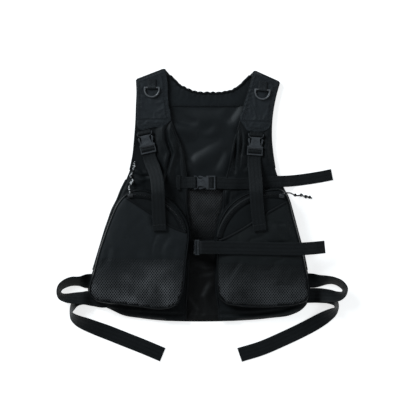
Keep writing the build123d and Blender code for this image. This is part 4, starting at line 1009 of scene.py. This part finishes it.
for tag, outline, node, seed in (("right", PAD_R, "shoulder_pad_r", 61), ("left", PAD_L, "shoulder_pad_l", 63)):
    poly = curve_through(outline, True, 2.0, corner=50)

    def pad_top(x, y, d, seed=seed):
        crown = np.sqrt(np.clip(1 - (1 - np.minimum(d / 4.5, 1)) ** 2, 0, 1))
        z = 12.2 + 2.6 * crown + 0.7 * noise(x, y, 34, seed) + 0.5 * np.maximum(0, noise(x * 1.6, y, 17, seed + 1)) * crown
        z -= 0.9 * np.exp(-((d - 6.2) / 0.9) ** 2) + 0.6 * np.exp(-((d - 9.2) / 0.8) ** 2)
        z -= 1.5 * np.exp(-((y - PAD_SEAM(x)) / 1.5) ** 2) + 0.7 * smoothstep((PAD_SEAM(x) - y) / 3)
        return np.where(d <= 0, 12.6, z)

    def pad_free(x, y, d):
        rows = np.exp(-((d - 6.2) / 1.1) ** 2) + np.exp(-((d - 9.2) / 1.1) ** 2)
        keeper = np.minimum(np.hypot(x + 108.9, (y - 286) * 0.9), np.hypot(x - 133.8, (y - 281) * 0.9))
        return np.clip(1 - rows - np.exp(-((y - PAD_SEAM(x)) / 2.0) ** 2), 0, 1) * smoothstep(d / 2.0) * smoothstep((keeper - 12) / 8)
    o = slab(f"shoulder_pad_{tag}", poly, 2.6, pad_top, lambda x, y, d: 11.6 + 0.8 * np.exp(-(d / 2.0) ** 2), "vest", PAD, (pad_free, 0.03, 3.0, 2.2))
    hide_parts(node)
    rows = []
    pts = even(poly, 2.0, closed=True)
    cw = 1 if area(pts) > 0 else -1
    t, side, _ = frames_along(np.column_stack([pts, np.zeros(len(pts))]), closed=True)
    for off, z in ((6.2, 15.0), (9.2, 15.25)):
        q = pts + side[:, :2] * off * cw
        dd, _, _ = to_line(q, poly, closed=True)
        ok = (dd > off - 0.8) & inside(q, poly)
        run = []
        for k in range(len(q)):
            if ok[k]:
                run.append((q[k][0], q[k][1], z))
            elif len(run) > 6:
                rows.append(np.array(run))
                run = []
            else:
                run = []
        if len(run) > 6:
            rows.append(np.array(run))
    for dy in (3.0,):
        xs = np.linspace(poly[:, 0].min(), poly[:, 0].max(), 90)
        q = np.column_stack([xs, PAD_SEAM(xs) + dy])
        dd, _, _ = to_line(q, poly, closed=True)
        q = q[inside(q, poly) & (dd > 10.5)]
        rows.append(np.column_stack([q, np.full(len(q), 15.2)]))
    st = stitches(f"pad_stitching_{tag}", rows, "vest", THREAD)

# ------------------------------------------------------------------- pockets
def net(name, region, surface, body, mat, pw=5.6, ph=7.2, strand=1.12, thick=0.6):
    """A knitted net of slim diamonds, laid on a surface."""
    region = np.asarray(region, float)
    lo, hi = region.min(0), region.max(0)
    verts, faces, index = [], [], {}

    def vert(x, y):
        key = (round(x, 3), round(y, 3))
        if key not in index:
            index[key] = len(verts)
            verts.append((x, y))
        return index[key]
    i0, i1 = int(lo[0] // (pw / 2)) - 1, int(hi[0] // (pw / 2)) + 2
    j0, j1 = int(lo[1] // (ph / 2)) - 1, int(hi[1] // (ph / 2)) + 2
    centres = np.array([(i * pw / 2, j * ph / 2) for j in range(j0, j1) for i in range(i0, i1) if (i + j) % 2 == 0])
    d, _, _ = to_line(centres, region, closed=True)
    centres = centres[inside(centres, region) & (d > pw * 0.35)]
    hw, hh = pw / 2, ph / 2
    f = 1 - strand / (pw * 0.62)
    for cx, cy in centres:
        corners = [(cx + hw, cy), (cx, cy + hh), (cx - hw, cy), (cx, cy - hh)]
        ring = []
        for k in range(4):
            a, b = corners[k], corners[(k + 1) % 4]
            # hole: a diamond with its tips blunted
            ring.append((cx + (a[0] - cx) * f * 0.86, cy + (a[1] - cy) * f * 0.86))
            ring.append((cx + ((a[0] + b[0]) / 2 - cx) * f * 1.08, cy + ((a[1] + b[1]) / 2 - cy) * f * 1.08))
        out = []
        for k in range(4):
            a, b = corners[k], corners[(k + 1) % 4]
            out.append(a)
            out.append(((a[0] + b[0]) / 2, (a[1] + b[1]) / 2))
        oi = [vert(*q) for q in out]
        ri = [vert(*q) for q in ring]
        for k in range(8):
            m2 = (k + 1) % 8
            faces.append((oi[k], oi[m2], ri[m2], ri[k]))
    v = np.array(verts)
    z = surface(v[:, 0], v[:, 1])
    o = new_object(name, np.column_stack([v, z]), faces, body, np.column_stack([v, z]), mat=mat)
    mod = o.modifiers.new("thick", "SOLIDIFY")
    mod.thickness = thick * MM
    mod.offset = 0
    return o


def pocket(tag, foot, mouth, zipper, seed, mesh_top):
    poly = curve_through(foot, True, 3.0)
    if area(poly) < 0:
        poly = poly[::-1]
    pts = even(poly, 3.0, closed=True)
    t, side, _ = frames_along(np.column_stack([pts, np.zeros(len(pts))]), closed=True)
    inn = side[:, :2]
    rim = pts + inn * 4.0
    n = len(pts)
    arc = np.arange(n) * 3.0
    # gusset: a cloth wall that bellies a little, with puckers running up it
    levels = np.linspace(0, 1, 11)
    verts = []
    for lv in levels:
        z = 10.9 + 25.6 * lv
        belly = 1.1 * math.sin(math.pi * lv) + 0.5 * np.sin(arc / 13.0 + 3 * noise(arc, arc * 0 + lv * 9, 37, seed + 1)) * math.sin(math.pi * lv) ** 0.5
        pucker = 0.7 * noise(arc, np.full(n, lv * 30.0), 9, seed + 2, 2) * math.sin(math.pi * lv)
        off = 4.0 * lv - belly * 0.6 - pucker * 0.6
        verts.append(np.column_stack([pts + inn * np.asarray(off)[:, None], np.full(n, z)]))
    for lv in levels[::-1]:
        z = 10.9 + 25.6 * lv
        verts.append(np.column_stack([pts + inn * (4.0 * lv + 1.8), np.full(n, z)]))
    m = len(verts)
    stack = np.concatenate(verts)
    faces = []
    for r in range(m):
        r2 = (r + 1) % m
        for i in range(n):
            j = (i + 1) % n
            faces.append((r * n + i, r * n + j, r2 * n + j, r2 * n + i))
    fab = np.column_stack([np.tile(arc, m), stack[:, 2], np.zeros(len(stack))])
    g = new_object(f"pocket_gusset_{tag}", stack, faces, "vest", fab, mat=SHELL)
    fix_normals(g)
    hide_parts(f"pocket_gusset_{'r' if tag == 'right' else 'l'}")
    # piping at the rim and at the foot
    o = sweep(f"pocket_piping_{tag}", np.column_stack([rim, np.full(n, 37.0) + 0.25 * noise(arc, arc * 0, 24, seed + 3)]), circle(1.7, 12), "vest", TRIM, closed=True)
    o = sweep(f"pocket_foot_piping_{tag}", np.column_stack([pts - inn * 0.3, np.full(n, 11.6)]), circle(1.3, 10), "vest", TRIM, closed=True)

    cx, cy, rz, a0, a1, _ = zipper
    folds = POCKET_FOLDS[tag]

    def face_z(x, y):
        d, _, _ = to_line(np.stack([x, y], 1), rim, closed=True)
        crown = 1 - np.exp(-d / 26)
        z = 37.4 + 1.6 * crown
        z += crown * (0.9 * noise(x, y, 55, seed + 4) + 0.8 * np.maximum(0, noise(x + 7 * noise(x, y, 40, seed + 6), y * 0.7, 20, seed + 5)))
        return z, d

    def face_top(x, y, d):
        z, _ = face_z(x, y)
        rr = np.hypot(x - cx, y - cy)
        z -= 0.9 * np.exp(-((rr - rz) / 9.0) ** 2)
        return np.minimum(36.4 + (z - 36.4) * np.sqrt(np.clip(1 - (1 - np.minimum(d / 2.5, 1)) ** 2, 0, 1)), 39.0)
    f = slab(f"pocket_face_{tag}", rim, PITCH, face_top, lambda x, y, d: 36.0 + 0 * x, "vest", SHELL)
    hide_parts(f"pocket_face_{'r' if tag == 'right' else 'l'}")

    # slip pocket: soft cloth above, net below
    base = pts + inn * 5.6
    big = 400.0
    mline = curve_through(mouth, False, 4.0)
    if tag == "right":
        cut = np.vstack([[(-big, 60.0)], mline, [(0.0, -big), (-big, -big)]])
    else:
        cut = np.vstack([[(big, 52.0)], mline, [(0.0, -big), (big, -big)]])
    keep = inside(base, cut)
    # walk the base loop from where it enters the cut
    start = next(i for i in range(n) if keep[i] and not keep[i - 1])
    loop = [base[(start + k) % n] for k in range(n) if keep[(start + k) % n]]
    loop = np.array(loop)
    m_in = mline[inside(mline, base)]
    if np.linalg.norm(loop[-1] - m_in[0]) > np.linalg.norm(loop[-1] - m_in[-1]):
        m_in = m_in[::-1]
    slip = even(np.vstack([loop, m_in]), 3.0, closed=True)
    mouth_line = m_in if m_in[0][0] < m_in[-1][0] else m_in[::-1]

    def slip_height(x, y):
        p = np.stack([x, y], 1)
        d, _, _ = to_line(p, slip, closed=True)
        dm, _, _ = to_line(p, mouth_line)
        z, _ = face_z(x, y)
        crown = 1 - np.exp(-d / 14)
        lift = 0.9 + 2.9 * crown
        z = z + lift + crown * 0.6 * noise(x, y, 34, seed + 8)
        z -= crown * 1.7 * wrinkles(x, y * 1.3, 46, seed + 9, 2.8)
        for line, h, w, o2 in folds:
            z += 1.25 * fold(x, y, line, h, w, 1 if o2 > 0.25 else -1)
        z += 0.9 * np.exp(-(dm / 3.0) ** 2)
        return np.minimum(z, 44.2 + 0.6 * np.tanh((z - 44.2) / 0.8))

    def slip_top(x, y, d):
        z = slip_height(x, y)
        return z - 0.7 + 0.7 * np.sqrt(np.clip(1 - (1 - np.minimum(d / 2.0, 1)) ** 2, 0, 1))

    def slip_bottom(x, y, d):
        return np.minimum(slip_top(x, y, d) - 0.5 - 0.5 * smoothstep(d / 3), 39.4 + 4 * smoothstep(d / 20))
    o = slab(f"slip_pocket_{tag}", slip, 2.9, slip_top, slip_bottom, "vest", SLIP_R if tag == "right" else SLIP_L_SHADED)
    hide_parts(f"slip_pocket_{'r' if tag == 'right' else 'l'}")
    # binding along the mouth
    ml = curve_through(mouth_line, False, 3.0)
    zz = slip_height(ml[:, 0], ml[:, 1])
    o = sweep(f"slip_mouth_binding_{tag}", np.column_stack([ml, zz - 0.2]), circle(3.0, 12, 0.42), "vest", TRIM)
    # net
    below = np.array([(-big, mesh_top), (big, mesh_top), (big, -big), (-big, -big)])
    reg = slip[slip[:, 1] < mesh_top]
    idx = np.where(slip[:, 1] < mesh_top)[0]
    gap = np.where(np.diff(idx) > 1)[0]
    if len(gap):
        idx = np.concatenate([idx[gap[0] + 1:], idx[:gap[0] + 1]])
    reg = slip[idx]
    ctr = reg.mean(0)
    o = net(f"pocket_net_{tag}", reg, lambda x, y: slip_height(x, y) + 0.45, "vest", NET_R if tag == "right" else NET_L_SHADED)
    return rim, slip_height, face_z, mouth_line


POCKET_FOLDS = {
    "right": [
        ([(-150, 20), (-120, -6), (-96, -40)], 1.2, 5, 0.3),
        ([(-60, -44), (-76, -78), (-70, -118)], 1.0, 7, 0.2),
        ([(-205, -40), (-190, -70), (-196, -120)], 1.1, 7, 0.2),
        ([(-150, -140), (-135, -165), (-140, -190)], 1.3, 8, 0.2),
        ([(-95, -150), (-110, -178), (-104, -196)], 1.0, 7, 0.2),
    ],
    "left": [
        ([(182, -14), (190, -34), (196, -50)], 1.6, 4, 0.4),
        ([(160, -20), (168, -44), (184, -60)], 1.2, 5, 0.3),
        ([(96, -100), (76, -130), (62, -160)], 1.2, 6, 0.2),
        ([(60, -130), (58, -160), (66, -185)], 1.3, 6, 0.2),
        ([(200, -110), (192, -150), (200, -180)], 1.0, 7, 0.2),
    ],
}
P_R = pocket("right", POCKET_R, MOUTH_R, ZIP_R, 71, -92.0)
P_L = pocket("left", POCKET_L, MOUTH_L, ZIP_L, 91, -104.0)

# ---------------------------------------------------------------------- zips
for tag, key, zipper, rim_set in (("right", "r", ZIP_R, P_R), ("left", "l", ZIP_L, P_L)):
    cx, cy, r, a0, a1, a_s = zipper
    ang = np.radians(np.linspace(a0, a1, 90))
    path = np.column_stack([cx + r * np.cos(ang), cy + r * np.sin(ang), np.full(len(ang), 38.9)])
    tape = [(-6.5, -0.1), (-6.5, 0.3), (-2.2, 0.55), (2.2, 0.55), (6.5, 0.3), (6.5, -0.1), (2.2, -0.3), (-2.2, -0.3)]
    o = sweep(f"zip_tape_{tag}", path, tape, "vest", TRIM)
    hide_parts(f"zip_tape_{key}")
    # chain: two rows of coil teeth that mesh along the middle
    verts, faces = [], []
    pitch = 1.9
    count = int(abs(math.radians(a1 - a0)) * r / pitch)
    for k in range(count):
        a = math.radians(a0 + (a1 - a0) * (k + 0.5) / count)
        rad = np.array([math.cos(a), math.sin(a)])
        tan = np.array([-math.sin(a), math.cos(a)])
        s = 1 if k % 2 else -1
        c = np.array([cx, cy]) + rad * (r + s * 0.75)
        base = len(verts)
        for (u, v, w) in ((-1.5, -0.55, 0), (1.5, -0.55, 0), (1.5, 0.55, 0), (-1.5, 0.55, 0), (-1.2, -0.4, 0.95), (1.2, -0.4, 0.95), (1.2, 0.4, 0.95), (-1.2, 0.4, 0.95)):
            q = c + rad * u + tan * v
            verts.append((q[0], q[1], 39.35 + w))
        faces += [tuple(base + i for i in f) for f in ((0, 3, 2, 1), (4, 5, 6, 7), (0, 1, 5, 4), (1, 2, 6, 5), (2, 3, 7, 6), (3, 0, 4, 7))]
    o = new_object(f"zip_chain_{tag}", np.array(verts), faces, "vest", np.array(verts), smooth=False, mat=TEETH)
    fix_normals(o)
    mod = o.modifiers.new("round", "BEVEL")
    mod.width = 0.16 * MM
    mod.segments = 2


# --------------------------------------------------- carried-over CAD pieces
def rounded(node, body, mat, width, name):
    """A copy of a CAD node's mesh with its sharp edges rounded."""
    src = N[node]
    me = src.data.copy()
    bm = bmesh.new()
    bm.from_mesh(me)
    bmesh.ops.remove_doubles(bm, verts=bm.verts, dist=1e-6)
    bmesh.ops.dissolve_limit(bm, angle_limit=math.radians(1.0), verts=bm.verts, edges=bm.edges)
    bmesh.ops.recalc_face_normals(bm, faces=bm.faces)
    bm.to_mesh(me)
    bm.free()
    o = bpy.data.objects.new(name, me)
    bpy.context.scene.collection.objects.link(o)
    me.materials.clear()
    me.materials.append(mat)
    me.polygons.foreach_set("use_smooth", [True] * len(me.polygons))
    mod = o.modifiers.new("round", "BEVEL")
    mod.width = width * MM
    mod.segments = 2
    mod.limit_method = "ANGLE"
    mod.angle_limit = math.radians(35)
    mod.harden_normals = True
    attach(o, body)
    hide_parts(node)
    return o


BUCKLES = ("shoulder_r", "shoulder_l", "chest", "lower")
for b in BUCKLES:
    rounded(f"socket_{b}", "vest", PLASTIC, 0.35, f"buckle_socket_{b}")
    rounded(f"plug_{b}", f"release_{b}", PLASTIC, 0.35, f"buckle_plug_{b}")
    for s in "ab":
        rounded(f"latch_{b}_{s}", f"latch_{b}_{s}", PLASTIC, 0.3, f"buckle_latch_{b}_{s}")
for s in "rl":
    rounded(f"zip_slider_{s}", f"zip_{s}", SLIDER, 0.3, f"zip_slider_body_{s}")
    N[f"d_ring_{s}"].data.materials.clear()
    N[f"d_ring_{s}"].data.materials.append(METAL)

# --------------------------------------------------------------- ring keepers
for tag, (rx, ry), turn in (("r", (-108.9, 279.5), 0.0), ("l", (133.8, 274.6), -4.0)):
    a = math.radians(turn)
    rz = 18.35
    prof = [(18.6, 15.9), (8.0, 15.9), (3.2, 15.9), (0.2, 15.7)]
    prof = [(18.6, 15.75), (6.0, 15.75), (1.5, 15.5), (-1.2, 16.0), (-2.75, 17.6), (-2.6, 19.4), (-1.0, 20.9), (1.3, 20.9), (3.4, 19.2), (6.0, 17.4), (12.0, 16.95), (18.8, 16.9)]
    mids, dirs = [], []
    for u, z in prof:
        mids.append((rx - u * math.sin(a), ry + u * math.cos(a), z))
        dirs.append((math.cos(a), math.sin(a), 0))
    o, path, d, nor = webbing(f"ring_tab_{tag}", mids, dirs, 18.0, 1.1, "vest", TAB, step=1.2)
    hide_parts(f"ring_keeper_{tag}")
    rows = []
    for u0, u1, v0, v1 in ((6.0, 6.0, -7.5, 7.5), (17.0, 17.0, -7.5, 7.5), (6.0, 17.0, -7.5, 7.5), (6.0, 17.0, 7.5, -7.5)):
        line = []
        for k in range(20):
            u, v = u0 + (u1 - u0) * k / 19, v0 + (v1 - v0) * k / 19
            line.append((rx + v * math.cos(a) - u * math.sin(a), ry + v * math.sin(a) + u * math.cos(a), 17.95 + (0.5 if u < 7 else 0)))
        rows.append(np.array(line))
    st = stitches(f"ring_tab_stitching_{tag}", rows, "vest", THREAD, 2.0, 0.8, 0.28)


# ------------------------------------------------------------------- webbing
def shoulder_axes(turn):
    a = math.radians(turn)
    return np.array([-math.sin(a), math.cos(a), 0.0]), np.array([0, 0, 1.0])


p80 = math.radians(80.0)
AXES = {
    "shoulder_r": (np.array([-119.0, 151.1, BUCKLE_Z]), *shoulder_axes(13.0), 29.0, 52.0, TAIL_R),
    "shoulder_l": (np.array([117.5, 146.7, BUCKLE_Z]), *shoulder_axes(-4.0), 29.0, 46.0, TAIL_L),
    "chest": (np.array([14.7, 71.3, BUCKLE_Z]), np.array([-1.0, 0, 0]), np.array([0, 0, 1.0]), 25.0, 60.0, TAIL_CHEST),
    "lower": (np.array([-5.5, -70.3, 37.0]), np.array([-math.cos(p80), 0, -math.sin(p80)]), np.array([-math.sin(p80), 0, math.cos(p80)]), 28.0, None, TAIL_LOWER),
}
# two points along each strap's webbing, one towards the vest and one by its plug
BLEND = {"shoulder_r": None, "shoulder_l": None, "chest": ((80.0, 71.3, 12.2), (27.0, 71.3, 12.2)), "lower": ((30.0, -70.3, 12.2), (-4.0, -70.3, 56.0))}
LOOP = [(-3.9, 1.3), (-3.9, 5.2), (-4.9, 6.3), (-9.7, 6.3), (-10.7, 5.3), (-10.7, 3.3), (-11.9, 2.15), (-17.0, 2.15)]


def end_stitches(name, path, d, nor, body, width, back=9.0, rows_at=(3.0, 12.0)):
    """Rows of stitches across a webbing's end."""
    dist = np.concatenate([[0], np.cumsum(np.linalg.norm(np.diff(path, axis=0), axis=1))])
    rows = []
    for off in rows_at:
        s = dist[-1] - off
        c = np.array([np.interp(s, dist, path[:, k]) for k in range(3)])
        w = np.array([np.interp(s, dist, d[:, k]) for k in range(3)])
        q = np.array([np.interp(s, dist, nor[:, k]) for k in range(3)])
        up = q if q[2] > 0 else -q
        lift = 0.72 if name.startswith("plain") else 1.95
        rows.append(np.array([c + w * v + up * lift for v in np.linspace(-width / 2 + 2, width / 2 - 2, 24)]))
    return stitches(name, rows, body, THREAD, 2.2, 0.9, 0.3)


for b, (M, u, w, web, load, tail) in AXES.items():
    v = np.cross(w, u)
    mids, dirs = [], []
    if b == "lower":
        for q in [(27.6, -70.3, 12.2), (26.6, -70.3, 20.0), (22.5, -70.3, 32.0), (16.0, -70.3, 43.0), (9.0, -70.3, 50.4), (3.2, -70.3, 53.8), (-0.4, -70.3, 54.2), (-2.5, -70.3, 53.0)]:
            mids.append(q)
            dirs.append((0, -1, 0))
        local = [(-14.2, 0.5), (-5.0, 0.5)] + LOOP
    else:
        local = [(-load, 0.55), (-5.0, 0.55)] + LOOP
    for a, c in local:
        mids.append(tuple(M + u * a + w * c))
        dirs.append(tuple(v))
    n_t = len(tail)
    for i, q in enumerate(tail):
        a, c = tail[max(i - 1, 0)], tail[min(i + 1, n_t - 1)]
        mids.append(q)
        dirs.append((c[1] - a[1], a[0] - c[0], 0.0))
    o, path, d, nor = webbing(f"strap_web_{b}", mids, dirs, web, WEB_T, None, WEB, step=2.0)
    b0, b1 = BLEND[b] or (M - u * (load + 8.0), M - u * 12.0)
    [c * MM for c in b0]
    [c * MM for c in b1]
    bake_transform(o)
    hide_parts(f"strap_{b}")
    # the free end is turned back on itself and sewn down
    k = np.concatenate([[0], np.cumsum(np.linalg.norm(np.diff(path, axis=0), axis=1))])
    sel = k > k[-1] - 15.0
    up = np.where(nor[:, 2:3] > 0, 1.0, -1.0) * nor
    hem_mid = path[sel] + up[sel] * 1.15
    h, hp, hd, hn = webbing(f"strap_hem_{b}", hem_mid, d[sel], web - 0.3, 1.1, "vest", WEB, step=2.0)
    st = end_stitches(f"strap_end_stitching_{b}", path, d, nor, "vest", web)

# webbing that holds the sockets
for b in ("shoulder_r", "shoulder_l"):
    M, u, w, web = AXES[b][:4]
    v = np.cross(w, u)
    stub = [(35.4, 3.2), (33.8, 3.5), (31.2, 6.1), (26.35, 6.1), (26.35, 1.5), (35.4, 1.5)]
    o, *_ = webbing(f"socket_web_{b}", [tuple(M + u * a + w * c) for a, c in stub], [tuple(v)] * len(stub), web - 0.6, WEB_T, "vest", WEB, step=1.2)
    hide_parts(f"anchor_{b}")
M, u, w, web = AXES["chest"][:4]
v = np.cross(w, u)
stub = [(71.0, 1.9), (38.0, 1.9), (34.6, 3.4), (31.2, 6.1), (26.35, 6.1), (26.35, 1.4), (29.5, 1.2), (33.5, 0.55), (71.0, 0.55)]
o, *_ = webbing("socket_web_chest", [tuple(M + u * a + w * c) for a, c in stub], [tuple(v)] * len(stub), web - 0.4, WEB_T, "vest", WEB, step=1.5)
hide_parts("anchor_chest")
rows = []
for a in (40.5, 50.0, 62.0):
    rows.append(np.array([M + u * a + w * 2.62 + v * q for q in np.linspace(-10.5, 10.5, 20)]))
st = stitches("socket_web_stitching_chest", rows, "vest", THREAD, 2.2, 0.9, 0.3)
M, u, w, web = AXES["lower"][:4]
low_stub = [tuple(M + u * a + w * c) for a, c in [(30.6, 1.4), (26.35, 1.4), (26.35, 6.1), (30.6, 6.1)]]
ly = -70.3
lead = [(-44.0, ly, 4.2), (-17.5, ly, 4.1), (-13.6, ly, 4.8)] + low_stub + [(-19.6, ly, 6.7), (-23.0, ly, 6.2), (-44.0, ly, 6.2)]
o, *_ = webbing("socket_web_lower", lead, [(0, 1, 0)] * len(lead), web - 0.6, WEB_T, "vest", WEB, step=1.2)
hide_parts("anchor_lower")

# stitched tab that holds the chest webbing
lo, hi = (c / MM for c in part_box("chest_tab"))
tab = [(lo.x + (hi.x - lo.x) * 0.5, lo.y, (lo.z + hi.z) / 2), (lo.x + (hi.x - lo.x) * 0.5, hi.y, (lo.z + hi.z) / 2)]
o, *_ = webbing("chest_tab_tape", tab, [(1, 0, 0)] * 2, hi.x - lo.x, hi.z - lo.z, "vest", WEB, step=2.0)
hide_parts("chest_tab")
rows = [np.array([(x, y, hi.z + 0.05) for y in np.linspace(lo.y + 1.5, hi.y - 1.5, 24)]) for x in (lo.x + 1.6, hi.x - 1.6)]
st = stitches("chest_tab_stitching", rows, "vest", THREAD, 2.2, 0.9, 0.3)

for tag, pairs in (("r", WAIST_EDGES_R), ("l", WAIST_EDGES_L)):
    a, b2 = np.array([p[0] for p in pairs]), np.array([p[1] for p in pairs])
    o, path, d, nor = webbing(f"waist_web_{tag}", (a + b2) / 2, b2 - a, 32.0, WEB_T, "vest", WEB, step=3.0)
    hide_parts(f"waist_strap_{tag}")
    st = end_stitches(f"plain_waist_stitching_{tag}", path, d, nor, "vest", 32.0, rows_at=(3.0,))

# ------------------------------------------------------------ seam stitching
rows = []
for inner, seam, folds, seed, s in ((INNER_R, SEAM_R, FOLDS_R, 41, -1), (INNER_L, SEAM_L, FOLDS_L, 51, 1)):
    p = curve_through(inner, False, 3.0)
    t, side, _ = frames_along(np.column_stack([p, np.zeros(len(p))]))
    for off in (5.2,):
        q = p + side[:, :2] * off * s
        z = front_height(q[:, 0], q[:, 1], seam, folds, seed)
        rows.append(np.column_stack([q, z + 0.1]))
st = stitches("front_edge_stitching", rows, "vest", THREAD, 3.0, 1.4, 0.3)
rows = []
for off in (240.6, 243.0):
    xs = np.linspace(-70, 92, 80)
    rows.append(np.column_stack([xs, np.full(80, off), yoke_top(xs, np.full(80, off), np.full(80, 5.0)) + 0.1]))
st = stitches("yoke_stitching", rows, "vest", THREAD, 3.0, 1.4, 0.3)

# the open mesh let into the middle of the back
reg = curve_through([(-30, 56), (-4, 57), (18, 57), (47, 56), (46, 22), (36, -12), (29, -48), (24, -54), (-20, -54), (-23, -48), (-25, -20), (-30, 20)], True, 4.0)
o = net("back_net", reg, lambda x, y: back_top(x, y, np.full(len(x), 9.0)) + 0.9 + 0.7 * noise(x, y, 22, 13), "vest", NET_BACK)
